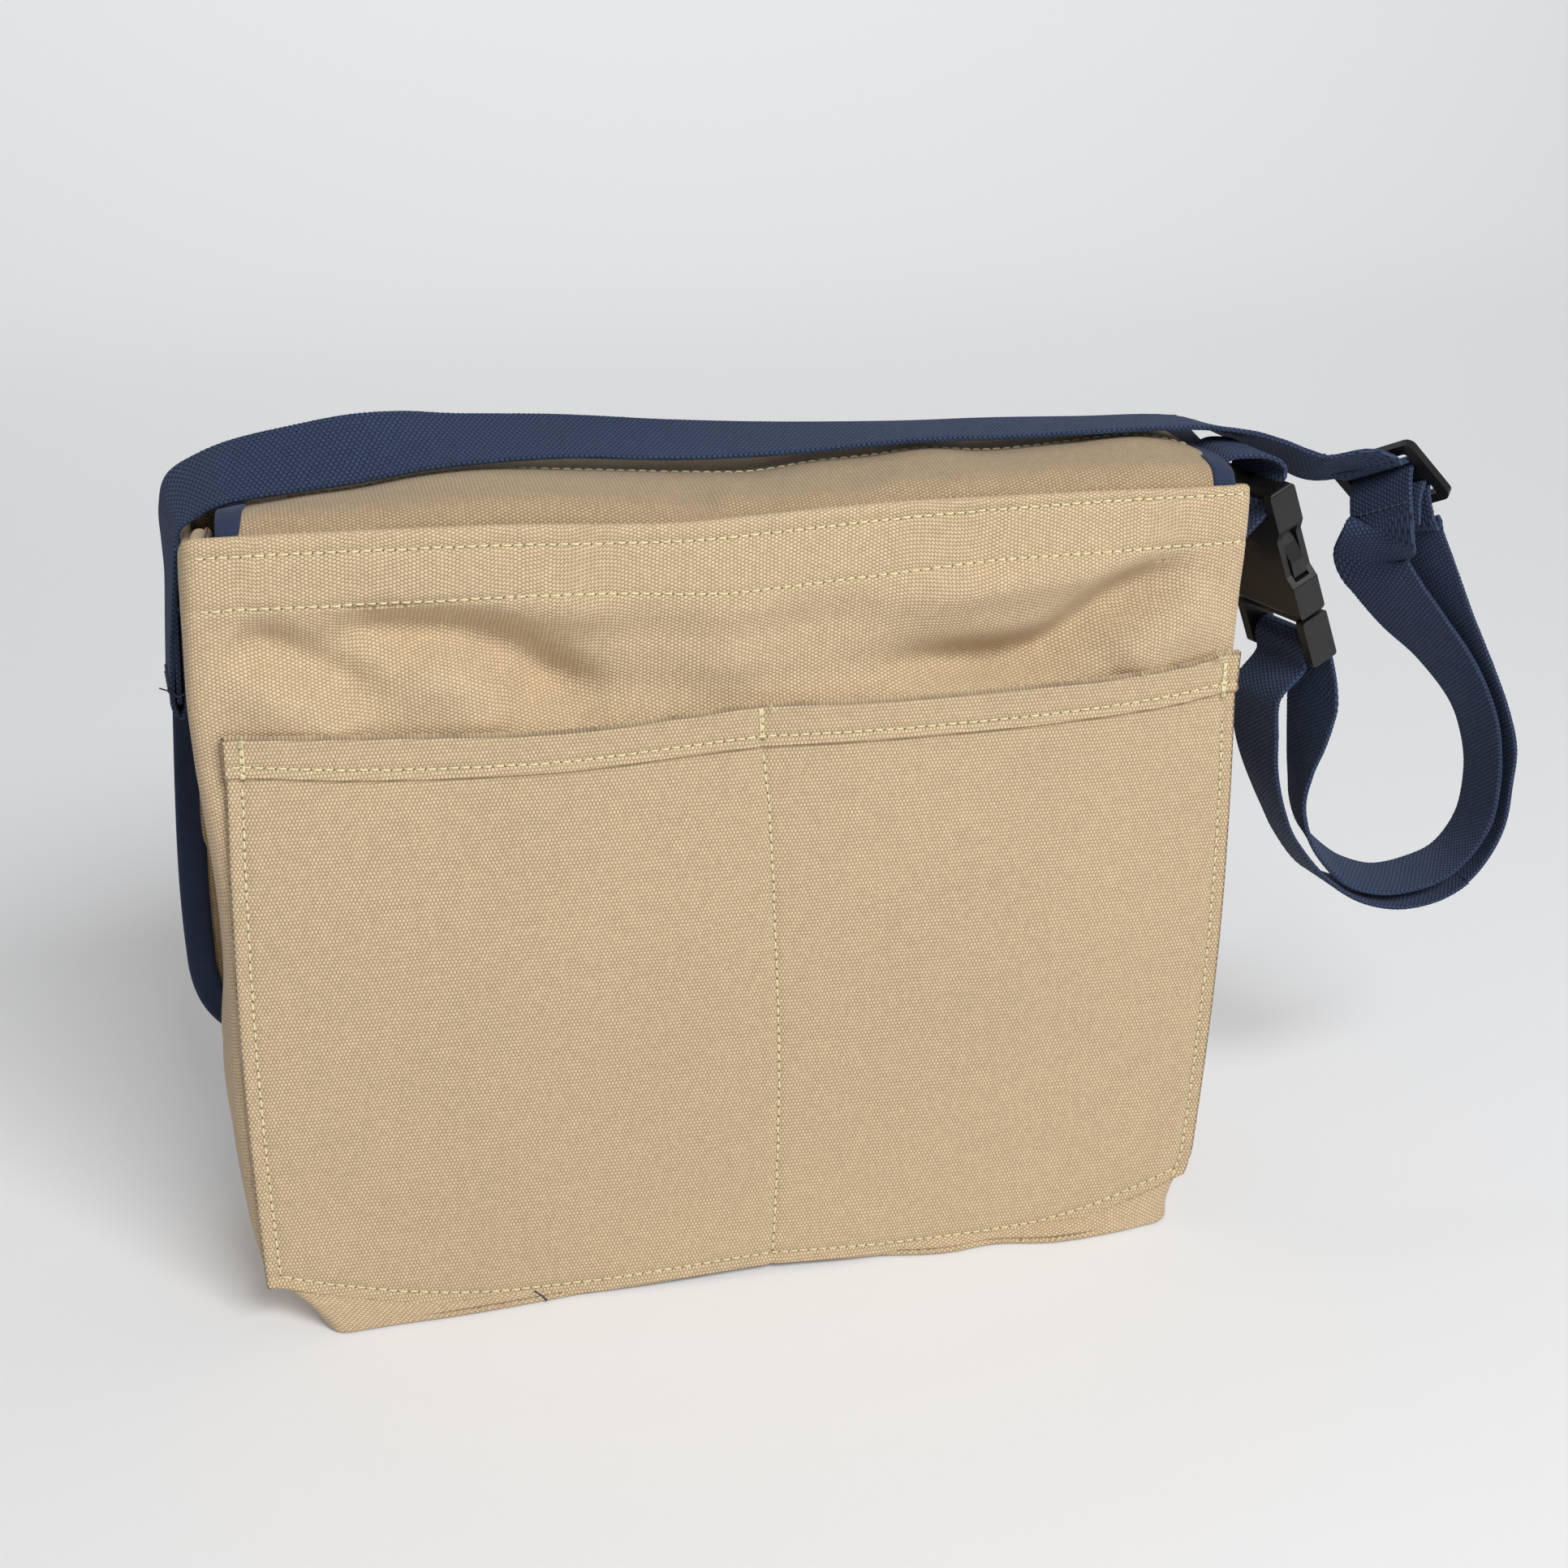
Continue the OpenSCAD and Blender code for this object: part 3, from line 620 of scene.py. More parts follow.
def rounded(ring, times=3):
    """Softens the four corners of a ring by averaging along it near them only."""
    corners = [0, 200, 244, 364]
    n = len(ring)
    idx = np.arange(n)
    w = np.zeros(n)
    for c in corners:
        d = np.minimum((idx - c) % n, (c - idx) % n)
        w = np.maximum(w, np.exp(-(d / 3.2) ** 2))
    for _ in range(times):
        mean = (np.roll(ring, 1, 0) + np.roll(ring, -1, 0)) / 2
        ring = ring + (mean - ring) * w[:, None] * 0.85
    return ring


def make_body():
    """The shell of panels and gussets, as rings stacked from the base to the top edge."""
    rings = [rounded(body_ring(level), 6) for level in LEVELS]
    top_ring = rings[-1]
    # roll over the hem's edge and down inside
    nrm = np.roll(top_ring, -1, 0) - np.roll(top_ring, 1, 0)
    inward = np.stack([-nrm[:, 1], nrm[:, 0], 0 * nrm[:, 0]], 1)
    inward /= np.linalg.norm(inward, axis=1, keepdims=True)
    rings_in = []
    half = CLOTH * 1.15
    for a in (30, 65, 100, 135, 165, 180):
        r = math.radians(a)
        rings_in.append(top_ring + inward * half * (1 - math.cos(r))
                        + np.array([0, 0, 1]) * half * math.sin(r))
    for k, d in enumerate((4, 9, 14, 19, 22, 22.6)):
        rings_in.append(top_ring + inward * (2 * half + (0.2 if k < 5 else -0.8))
                        - np.array([0, 0, 1]) * d)
    allr = rings + rings_in
    P = np.stack(allr, 1)
    # cloth coordinates: along the ring and up the body
    step = np.linalg.norm(np.diff(np.concatenate([P[:, 90], P[:1, 90]]), axis=0), axis=1)
    along = np.concatenate([[0], np.cumsum(step)[:-1]])
    uv = np.zeros(P.shape[:2] + (2,))
    uv[:, :, 0] = along[:, None]
    climb = np.linalg.norm(np.diff(P, axis=1), axis=2)
    uv[:, :, 1] = np.concatenate([0 * climb[:, :1], np.cumsum(climb, axis=1)], 1)
    # close the ring with a copy of its first column, so that the coordinates don't wrap
    P = np.concatenate([P, P[:1]])
    uv = np.concatenate([uv, uv[:1] + [[step.sum(), 0]]])
    body = cloth_sheet("body_shell", P, uv, CLOTH, DUCK, out=1, soft_edge=False)
    weld(body, 0.00001)
    return body, P


def weld(ob, distance):
    bm = bmesh.new()
    bm.from_mesh(ob.data)
    bmesh.ops.remove_doubles(bm, verts=bm.verts, dist=distance)
    bm.to_mesh(ob.data)
    bm.free()
    ob.data.polygons.foreach_set("use_smooth", np.ones(len(ob.data.polygons), bool))


def make_base(P):
    """The floor panel: joined to the shell's lowest ring, slightly hollow in the middle."""
    ring = P[:-1, 0]
    centre = ring.mean(0)
    rows = []
    for f in np.linspace(0.985, 0.04, 16):
        r = centre + (ring - centre) * f
        r[:, 2] = 1.2 + 1.3 * ease(0, 1, 1 - f) + 0.25 * ripple(r[:, 0], r[:, 1], 5, 80.0) * (1 - f)
        rows.append(r)
    G = np.stack(rows, 1)
    G = np.concatenate([G, G[:1]])
    uv = G[:, :, :2].copy()
    ob = cloth_sheet("base_shell", G, uv, CLOTH, DUCK, out=-1, soft_edge=False)
    return ob


body, body_grid = make_body()
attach(body, "bag")
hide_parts("back_panel", "back_hem", "front_panel", "front_hem", "left_gusset",
            "right_gusset", "left_gusset_hem", "right_gusset_hem")
base = make_base(body_grid)
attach(base, "bag")
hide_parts("base_panel")

# ---------------------------------------------------------------- the pocket


def pocket_relief(x, z):
    """How far the pocket's outer face stands out from the body's plane, in mm."""
    top, low = pocket_top(x), pocket_low(x)
    seam = divider_line(z)
    left, right = pocket_left(z), pocket_right(z)
    u = np.where(x < seam, (x - left) / (seam - left), (x - seam) / (right - seam))
    u = np.clip(u, 0, 1)
    arch = np.sin(np.pi * u) ** 0.75
    up = np.clip((z - low) / (top - low), 0, 1)
    h = 1.7 + arch * (0.7 + 1.5 * up**2)
    h = h + 0.55 * ripple(x, z, 31, 150.0) * arch
    h = h + fold_line([(-150, 198), (-120, 186), (-96, 170)], 16, 0.7, x, z)
    h = h + fold_line([(-140, 40), (-120, 62), (-96, 78)], 20, -0.9, x, z)
    h = h + fold_line([(140, 50), (118, 70), (96, 84)], 22, -0.8, x, z)
    h = h + fold_line([(60, 120), (80, 100), (96, 76)], 20, 0.7, x, z)
    # the bottom edge follows the roll of cloth below it
    h = h + ease(26, 0, z - low) * (0.6 + 0.8 * np.sin(x / 23.0) ** 2)
    # seams pull the cloth in
    for d in (x - seam, x - left - 4.3, right - 3.9 - x):
        h = h - 0.55 * np.exp(-(d / 1.3) ** 2)
    h = h - 0.5 * np.exp(-((z - low - 4.2) / 1.3) ** 2)
    return h


divider_line = curve([(2, 7.4), (20, 8.4), (50, 9.6), (81, 10), (125, 8.8), (168, 7), (206, 4)])


def pocket_point(x, z):
    return np.stack([x, -HALF_D - pocket_relief(x, z), z], -1)


def make_pocket():
    """The slip pocket and its hem band, on grids that follow the seams."""
    def spaced(lo, hi, seams, wide=1.9, near=0.6, reach=3.0):
        out = [lo]
        while out[-1] < hi - 0.3:
            step = near if min(abs(out[-1] - m) for m in seams) < reach else wide
            out.append(min(out[-1] + step, hi))
        return np.array(out)

    across = spaced(-158, 160, (-153.7, 7, 156.1))[:, None]
    up = spaced(0, 200, (4.2, 198), reach=2.6)[None, :]

    def column(z):
        seam = divider_line(z)
        k = [pocket_left(z), pocket_left(z) + 4.3, seam, pocket_right(z) - 3.9, pocket_right(z)]
        n = (-158, -153.7, 7, 156.1, 160)
        x = 0
        for i in range(4):
            t = np.clip((across - n[i]) / (n[i + 1] - n[i]), 0, 1)
            x = x + (k[i + 1] - k[i]) * t + (k[0] if i == 0 else 0)
        return x

    def height(x):
        low, top = pocket_low(x), pocket_top(x) - 0.8
        return low + np.minimum(up, 4.2) + (top - low - 4.2) * np.maximum(up - 4.2, 0) / 195.8

    z = height(across)
    x = column(z)
    z = height(x)
    x = column(z)
    P = pocket_point(x, z)
    u = (across + 158) / 318
    guess = across
    panel = cloth_sheet("pocket_shell", P, np.stack([z, x], -1), CLOTH, DUCK_TURNED)
    # the hem is folded to the outside, so its lower edge stands proud
    v = np.linspace(0, 1, 26)[None, :]
    low, top = pocket_fold(guess), pocket_top(guess)
    z = low + (top - low) * v
    x = pocket_left(z) + (pocket_right(z) - pocket_left(z)) * u - 0.4 + 0.8 * u
    low, top = pocket_fold(x), pocket_top(x)
    z = low + (top - low) * v
    P = pocket_point(x, z)
    P[..., 1] -= 1.25 + 0.5 * ease(0.5, 1, v) - 0.6 * np.exp(-((z - low - 3.1) / 1.2) ** 2)
    hem = cloth_sheet("pocket_hem_band", P, np.stack([z, x], -1), 2.3, DUCK_TURNED)
    return panel, hem


pocket, pocket_band = make_pocket()
for ob, node in ((pocket, "pocket_panel"), (pocket_band, "pocket_hem")):
    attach(ob, "bag")
    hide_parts(node)

# ---------------------------------------------------------------- the flap

ridge_wave = curve([(-160, 270.5), (-145, 270.6), (-129, 270.8), (-112, 271.2), (-95, 272),
                    (-78, 272.2), (-48, 270.3), (-15, 267.6), (11, 266.8), (32, 269), (49, 269),
                    (67, 271.2), (85, 269.4), (111, 270), (140, 270.4), (152, 268.5), (163, 266)])
strap_wave = curve([(-160, 265), (-148, 266.6), (-138, 267.8), (-129, 268.9), (-112, 270.2),
                    (-95, 272.6), (-78, 273.6), (-48, 271.6), (-15, 269), (11, 267.4), (32, 270),
                    (49, 270.4), (67, 272.2), (85, 270.2), (111, 271), (140, 272), (152, 269.5),
                    (163, 266)])
# stations along the flap: share of the crest's height, y, and the two edges
FLAP_ROWS = [  # (y, z offset, share of the waves, ridge to strap, left edge, right edge)
    (-42.6, -15, 0.0, 0, -154.2, 156.5), (-42.3, -7, 0.0, 0, -154.2, 157),
    (-41.8, 0.5, 0.0, 0, -154, 157.5), (-39.4, -3.4, 1.0, 0, -153.7, 158.2),
    (-35, -0.8, 1.0, 0, -153.5, 159.2), (-27, 0.0, 1.0, 0.1, -153.2, 160.2),
    (-13, -0.4, 1.0, 1, -153, 162.8), (3, -1.2, 0.95, 1, -153, 165),
    (20, -1.4, 0.6, 1, -154.2, 167), (35, -2.0, 0.3, 1, -158, 169.5), (43.6, -3.9, 0.1, 1, -162, 171.5),
    (48.2, -7.6, 0.0, 1, -165, 172.5), (50.0, -15.5, 0.0, 1, -167.5, 173)]
DROP_EDGE = curve([(56, 177), (82, 176.5), (107, 177), (132, 176.5), (152, 175.5), (181, 173.6),
                   (210, 171.5), (235, 169.5), (252, 167.5)])
DROP_LOW, DROP_R = drop_lo[2], 32.0


def smooth_rows(rows, n):
    """Catmull-Rom between rows of points, n steps each, along axis 0."""
    rows = np.asarray(rows, float)
    out = []
    for i in range(len(rows) - 1):
        a, b = rows[max(i - 1, 0)], rows[i]
        c, d = rows[i + 1], rows[min(i + 2, len(rows) - 1)]
        for k in range(n):
            s = k / n
            out.append(0.5 * (2 * b + (c - a) * s + (2 * a - 5 * b + 4 * c - d) * s**2
                              + (3 * b - a - 3 * c + d) * s**3))
    out.append(rows[-1])
    return np.stack(out)


def flap_grid():
    """The whole flap as one surface, from its sewn edge to its lower edge."""
    lin = np.linspace(-1, 1, 171)
    t = 0.5 + 0.5 * np.sign(lin) * (1 - (1 - np.abs(lin)) ** 1.35)
    rows = []
    base = 268.2
    for y, dz, share, over, left, right in FLAP_ROWS:
        x = left + (right - left) * t
        if share > 0:
            wave = ridge_wave(x) + (strap_wave(x) - ridge_wave(x)) * over
            z = base + (wave - base) * share + dz
        else:
            z = (hem_top(x) - 1.5 + dz) if y < 0 else np.full_like(x, base + dz)
        y_wave = 0.9 * ripple(x, y, 41, 90.0) * ease(-38, 0, y)
        rows.append(np.stack([x, y + 0 * x + y_wave * (0.5 if y > 40 else 0.3), z], 1))
    crest = smooth_rows(rows, 4)
    n_crest = len(crest)
    # wrinkles where the flap leaves the hem
    X = crest[..., 0]
    along = np.arange(n_crest)[:, None] + 0 * X
    for cx, cs, wx, amp in ((-12, 17, 7, -2.0), (-2, 19, 6, 1.3), (34, 18, 9, -1.5), (50, 16, 8, 1.4),
                            (-60, 17, 16, 0.8), (66, 17, 9, -1.1), (100, 18, 18, 0.7)):
        crest[..., 2] += amp * np.exp(-((X - cx) / wx) ** 2 - ((along - cs) / 5.0) ** 2)
    down = []
    last = crest[-1]
    steps = 64
    for k in range(1, steps + 1):
        f = k / steps
        z_side = np.full(len(t), DROP_LOW)
        z = last[:, 2] + (z_side - last[:, 2]) * f
        edge = DROP_EDGE(z)
        x = -edge + 2 * edge * t
        over = np.clip((np.abs(x) - (177 - DROP_R)) / DROP_R, 0, 1)
        lift = DROP_R * (1 - np.sqrt(np.maximum(1 - over**2, 0)))
        z = last[:, 2] + (z_side + lift - last[:, 2]) * f
        edge = DROP_EDGE(z)
        x = -edge + 2 * edge * t
        belly = 2.2 * np.sin(np.pi * f) * np.sin(np.pi * t) ** 0.6
        y = 50.2 + belly + 1.0 * ripple(x, z, 43, 110.0) * ease(0, 0.15, f)
        y = y + fold_line([(-120, 262), (-100, 235), (-84, 205)], 15, 1.6, x, z)
        y = y + fold_line([(60, 262), (76, 228), (88, 190)], 18, -1.2, x, z)
        y = y + 1.6 * np.clip(f - 0.75, 0, 1) * (2 * t - 1) ** 2
        down.append(np.stack([x, y, z], 1))
    G = np.concatenate([crest, np.stack(down)])
    return G.transpose(1, 0, 2)  # index by [across, along]


FLAP = flap_grid()
FLAP_N = -normals_of(FLAP)
CUT = 4 * 8  # the row at y = 20, where every point is on the crest's body


def flap_outward():
    """Makes the flap's normals point up on the crest."""
    return FLAP_N * np.sign(FLAP_N[85, 24, 2])


FLAP_N = flap_outward()


def part_sheet(name, P, N, uv, thick, material, rims):
    """A sheet with given normals. rims says which of u0, u1, v0, v1 are finished edges."""
    nu, nv, _ = P.shape
    inner = P - N * thick
    out = 1 if np.sum(normals_of(P) * N) > 0 else -1
    count = nu * nv
    verts, uvs = [P.reshape(-1, 3), inner.reshape(-1, 3)], [uv.reshape(-1, 2)] * 2
    faces = grid_faces(nu, nv, 0, flip=out < 0) + grid_faces(nu, nv, count, flip=out > 0)
    ids_of = {"v0": [k * nv for k in range(nu)], "v1": [k * nv + nv - 1 for k in range(nu)],
              "u0": list(range(nv)), "u1": list(range(count - nv, count))}
    for rim in rims:
        ids = ids_of[rim]
        for a, b in zip(ids[:-1], ids[1:]):
            f = [a, b, b + count, a + count]
            faces.append(f[::-1] if (rim in ("v1", "u0")) == (out > 0) else f)
    return new_object(name, np.concatenate(verts), faces, np.concatenate(uvs), material)


def flap_uv():
    across = FLAP[..., 0]
    step = np.linalg.norm(np.diff(FLAP, axis=1), axis=2)
    along = np.concatenate([0 * step[:, :1], np.cumsum(step, axis=1)], 1)
    return np.stack([across, along], -1)


FLAP_UV = flap_uv()
# both flap sheets take the darker duck colour, which is painted shade
crest_sheet = part_sheet("flap_crest_cloth", FLAP[:, :CUT + 1], FLAP_N[:, :CUT + 1],
                         FLAP_UV[:, :CUT + 1], CLOTH, DUCK_FLAP_PAINTED_SHADE, ("u0", "u1", "v0", "v1"))
drop_sheet = part_sheet("flap_drop_cloth", FLAP[:, CUT:], FLAP_N[:, CUT:], FLAP_UV[:, CUT:],
                        CLOTH, DUCK_FLAP_PAINTED_SHADE, ("u0", "u1", "v0", "v1"))


def binding_strip(name, ids, material, width=9.0, first=None):
    """Tape folded over the flap's edge. ids are (across, along) grid places in order."""
    E = np.array([FLAP[i, j] for i, j in ids])
    N = np.array([FLAP_N[i, j] for i, j in ids])
    for _ in range(2):
        E[1:-1] = (E[:-2] + 2 * E[1:-1] + E[2:]) / 4
    T = np.gradient(E, axis=0)
    T /= np.linalg.norm(T, axis=1, keepdims=True)
    inward = np.cross(N, T)
    middle = FLAP[85, 60]
    inward *= np.sign(np.sum((middle - E) * inward, axis=1, keepdims=True))
    inward /= np.linalg.norm(inward, axis=1, keepdims=True)
    for _ in range(3):
        inward[1:-1] = (inward[:-2] + 2 * inward[1:-1] + inward[2:]) / 4
        N[1:-1] = (N[:-2] + 2 * N[1:-1] + N[2:]) / 4
    t = CLOTH
    section = [(width, 0.25), (width, 0.85), (width * 0.75, 0.95), (width * 0.5, 0.9),
               (width * 0.22, 1.0), (0.4, 0.95), (-0.55, 0.45), (-0.8, -t / 2),
               (-0.55, -t - 0.45), (0.4, -t - 0.95), (width * 0.22, -t - 1.0),
               (width * 0.5, -t - 0.9), (width * 0.75, -t - 0.95), (width, -t - 0.85),
               (width, -t - 0.25)]
    # the tape may start narrower than it ends
    wide = np.interp(np.arange(len(E)), (0, len(E) - 1), ((first or width) / width, 1))[:, None]
    G = np.stack([E + inward * a * (wide if a > 1 else 1) + N * b for a, b in section], 1)
    step = np.concatenate([[0], np.cumsum(np.linalg.norm(np.diff(E, axis=0), axis=1))])
    lap = np.concatenate([[0], np.cumsum([math.dist(p, q)
                                          for p, q in zip(section[:-1], section[1:])])])
    uv = np.stack([step[:, None] + 0 * lap[None], lap[None] + 0 * step[:, None]], -1)
    nu, nv, _ = G.shape
    turn = np.sum(normals_of(G)[nu // 2, 3] * N[nu // 2]) < 0
    ob = new_object(name, G.reshape(-1, 3), grid_faces(nu, nv, 0, flip=turn),
                    uv.reshape(-1, 2), material)
    return ob, E, N, inward


last_row, last_col = FLAP.shape[1] - 1, FLAP.shape[0] - 1
tape_left, *_ = binding_strip("binding_crest_left", [(0, j) for j in range(CUT + 1)], BINDING,
                              first=4.5)
tape_right, *_ = binding_strip("binding_crest_right", [(last_col, j) for j in range(CUT + 1)],
                               BINDING, first=6.0)
round_drop = ([(0, j) for j in range(CUT, last_row)] + [(i, last_row) for i in range(last_col)]
              + [(last_col, j) for j in range(last_row, CUT - 1, -1)])
tape_drop, *_ = binding_strip("binding_drop_tape", round_drop, BINDING)

for ob, nodes, slot in ((crest_sheet, ["flap_crest", "flap_inset"], "duck"),
                        (tape_left, ["binding_left"], "binding"),
                        (tape_right, ["binding_right"], "binding")):
    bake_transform(ob)
    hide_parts(*nodes)
for ob, nodes, slot in ((drop_sheet, ["flap_drop"], "duck"), (tape_drop, ["binding_drop"], "binding")):
    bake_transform(ob)
    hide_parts(*nodes)

# ---------------------------------------------------------------- the webbing


def turned(v, angles):
    x, y, z = v
    a, b, c = (math.radians(k) for k in angles)
    y, z = y * math.cos(a) - z * math.sin(a), y * math.sin(a) + z * math.cos(a)
    x, z = x * math.cos(b) + z * math.sin(b), z * math.cos(b) - x * math.sin(b)
    return np.array([x * math.cos(c) - y * math.sin(c), x * math.sin(c) + y * math.cos(c), z])


BUCKLE_AT, BUCKLE_TURN = np.array([174.6, -13, 257.2]), (0, -22, 17)
SLIDER_AT, SLIDER_TURN = np.array([227.8, -8.6, 252]), (-38, 47, 0)


def in_buckle(x, z, y=0.0):
    return [*(BUCKLE_AT + turned([x, y, z], BUCKLE_TURN)), *turned([0, 1, 0], BUCKLE_TURN)]


def in_slider(x, z, y=0.0):
    return [*(SLIDER_AT + turned([x, y, z], SLIDER_TURN)), *turned([0, 1, 0], SLIDER_TURN)]


STRAP = [
    [-170.1, 0, 206.5, -0.06, 1, 0], [-169.5, 0, 220, -0.06, 1, 0], [-168.9, 0, 234, -0.06, 1, 0],
    [-168.1, 0, 236.4, -0.06, 1, 0], [-167.3, 0, 234, -0.06, 1, 0], [-167.8, 0, 220, -0.06, 1, 0],
    [-168.3, 0, 206, -0.06, 1, 0], [-170.2, 0, 202.2, -0.06, 1, 0], [-172.2, 0, 206, -0.06, 1, 0],
    [-171.8, 0, 214, -0.06, 1, 0], [-170.8, 0, 226, -0.07, 1, 0],
    [-169.3, 0, 241, -0.1, 1, 0], [-168.7, 0, 251, -0.15, 1, 0], [-168.0, 0, 261, -0.2, 1, 0.1],
    [-164.4, -0.5, 268, -0.24, 0.9, 0.35], [-156, -1, 273, -0.25, 0.9, 0.4],
    [-145.5, -1.5, 276, -0.25, 0.85, 0.5], [-129, -2.5, 278.5, -0.2, 0.8, 0.6],
    [-112, -2.5, 280.5, -0.1, 0.75, 0.65], [-95, -1.5, 281.5, -0.05, 0.85, 0.55],
    [-79, -0.5, 281, -0.05, 0.9, 0.4], [-48, 0, 280, 0, 0.95, 0.3], [-14, 0, 277, 0.05, 0.95, 0.25],
    [21, 0.5, 275.5, 0.1, 1, 0.15], [62, 0.5, 275.5, 0.1, 1, 0], [92, 0.5, 275, 0.1, 1, 0],
    [123, 0, 274.5, 0.1, 0.95, -0.05], [156, 0, 273.5, 0.15, 0.95, -0.1],
    [175, -2, 269, 0.2, 0.9, -0.3], [186, -3.5, 264.5, 0.15, 0.87, -0.4],
    [195, -5, 260, 0.05, 0.85, -0.42], [203, -6.5, 257, -0.1, 0.84, -0.45]]
SLIDER_WRAP = [
    in_slider(-14.5, -6.8), in_slider(-10, -4.9), in_slider(-6.9, -2.2), in_slider(-5.3, 0.6),
    in_slider(-4.1, 3.1), in_slider(-2, 4.7), in_slider(0, 5.1), in_slider(2, 4.7),
    in_slider(4.1, 3.1), in_slider(5.3, 0.8), in_slider(6.2, -2), in_slider(8.6, -5.2),
    in_slider(11.8, -8.4), in_slider(14.2, -10.6)]
LOOP_OUT = [
    [234.5, -11.5, 234, -0.55, 0.75, -0.35],
    [244, -9.5, 217.5, -0.55, 0.8, -0.25], [252.5, -8.5, 202.5, -0.5, 0.85, -0.15],
    [264.5, -7.5, 183.5, -0.35, 0.93, -0.1], [273, -7, 169, -0.2, 0.97, -0.1],
    [279, -6.5, 154.5, -0.1, 0.98, -0.12], [280.5, -6.5, 141, 0, 0.98, -0.15],
    [279.5, -7, 126, 0, 0.98, -0.15], [275.5, -7, 113.5, 0.1, 0.98, -0.05],
    [267.5, -7.5, 104.5, 0.2, 1, 0], [256, -8, 99.5, 0.3, 0.95, 0], [241.5, -8, 98.5, 0.3, 0.95, -0.05],
    [226, -8, 102.5, 0.25, 0.95, -0.15], [212.5, -8.5, 111, 0.2, 0.95, -0.3],
    [201, -9, 125, 0.25, 0.9, -0.4], [194.5, -8.5, 137.5, 0.15, 0.95, -0.35],
    [189, -8, 153, -0.05, 0.95, -0.2], [186.5, -8, 166, -0.2, 0.95, -0.15],
    [185.5, -8, 180, -0.3, 0.95, -0.1]]
LOOP_IN = [
    [206.8, -7.5, 180, -0.3, 0.95, -0.1], [207, -7.5, 171.5, -0.25, 0.95, -0.15],
    [206, -7.5, 160.5, -0.1, 1, -0.2], [204.5, -8, 150, 0.1, 0.95, -0.25],
    [204.5, -8.5, 138, 0.25, 0.9, -0.3], [209, -8, 125.5, 0.3, 0.93, -0.2],
    [217.5, -7.5, 115, 0.3, 0.95, -0.05], [227.5, -7, 108, 0.3, 0.95, 0],
    [240.5, -7, 104.5, 0.25, 0.95, 0], [255, -6.5, 106, 0.1, 1, 0],
    [266, -6.5, 112, 0.05, 1, -0.1], [273.5, -7, 125, 0, 0.97, -0.2], [275, -7, 141, 0, 0.97, -0.25],
    [273, -6.5, 155, -0.05, 1, -0.2], [267.5, -7, 169, -0.2, 0.98, -0.1],
    [255.5, -8, 186.5, -0.45, 0.87, -0.1], [241, -9.5, 202, -0.6, 0.75, -0.2],
    [228, -11, 217, -0.65, 0.7, -0.28], [222, -11.5, 226, -0.65, 0.68, -0.33]]
BAR_Z = -64.6
PLUG_WRAP = [
    in_buckle(-6.2, BAR_Z - 5), in_buckle(-4.6, BAR_Z - 0.5), in_buckle(-3.8, BAR_Z + 2.6),
    in_buckle(-2.2, BAR_Z + 4.5), in_buckle(0, BAR_Z + 5), in_buckle(2.2, BAR_Z + 4.5),
    in_buckle(3.8, BAR_Z + 2.6), in_buckle(4.6, BAR_Z - 1), in_buckle(5.4, BAR_Z - 6)]
FOLD_OVER = [
    in_slider(6.0, -19.2), in_slider(3.4, -15), in_slider(-0.6, -8.5), in_slider(-2.8, -3.6),
    in_slider(-3.4, 0), in_slider(-2.6, 2.2), in_slider(0, 3.1), in_slider(2.6, 2.2),
    in_slider(3.4, 0), in_slider(3.6, -3.6), in_slider(4.5, -8.5), in_slider(6.4, -13),
    in_slider(8.4, -17)]
TAB = [
    [158.6, -12, 246, 0, 1, 0], [158.8, -12, 256, 0, 1, 0], [160, -12, 263.6, 0, 1, 0],
    [163.4, -12, 267, 0, 1, 0], [169, -12.5, 267.6, -0.05, 1, 0], [175.5, -13, 266.5, -0.15, 1, 0],
    [179.8, -12.8, 262.8, -0.25, 1, 0], in_buckle(3.9, -1.5), in_buckle(3.6, -5),
    in_buckle(0.2, -7.2), in_buckle(-3.4, -5.3), in_buckle(-4.8, -7.5),
    [168.2, -13, 240, -0.1, 1, 0], [166.6, -12.2, 229, 0, 1, 0], [166.2, -12, 219, 0, 1, 0],
    [166, -12, 211, 0, 1, 0]]


def web_section():
    """Half-widths and half-thicknesses round the webbing, with a fuller woven edge."""
    w, t = WEB_W / 2, WEB_T / 2
    top = [(-w, 0.0), (-w + 0.12, t * 0.75), (-w + 0.6, t * 1.12), (-w + 1.5, t * 1.1),
           (-w + 2.6, t * 0.98)]
    n = 9
    mid = [(-w + 2.6 + (2 * w - 5.2) * k / n, t) for k in range(1, n)]
    half = top + mid + [(-a, b) for a, b in reversed(top)]
    low = [(a, -b) for a, b in reversed(half[1:-1])]
    return half + low


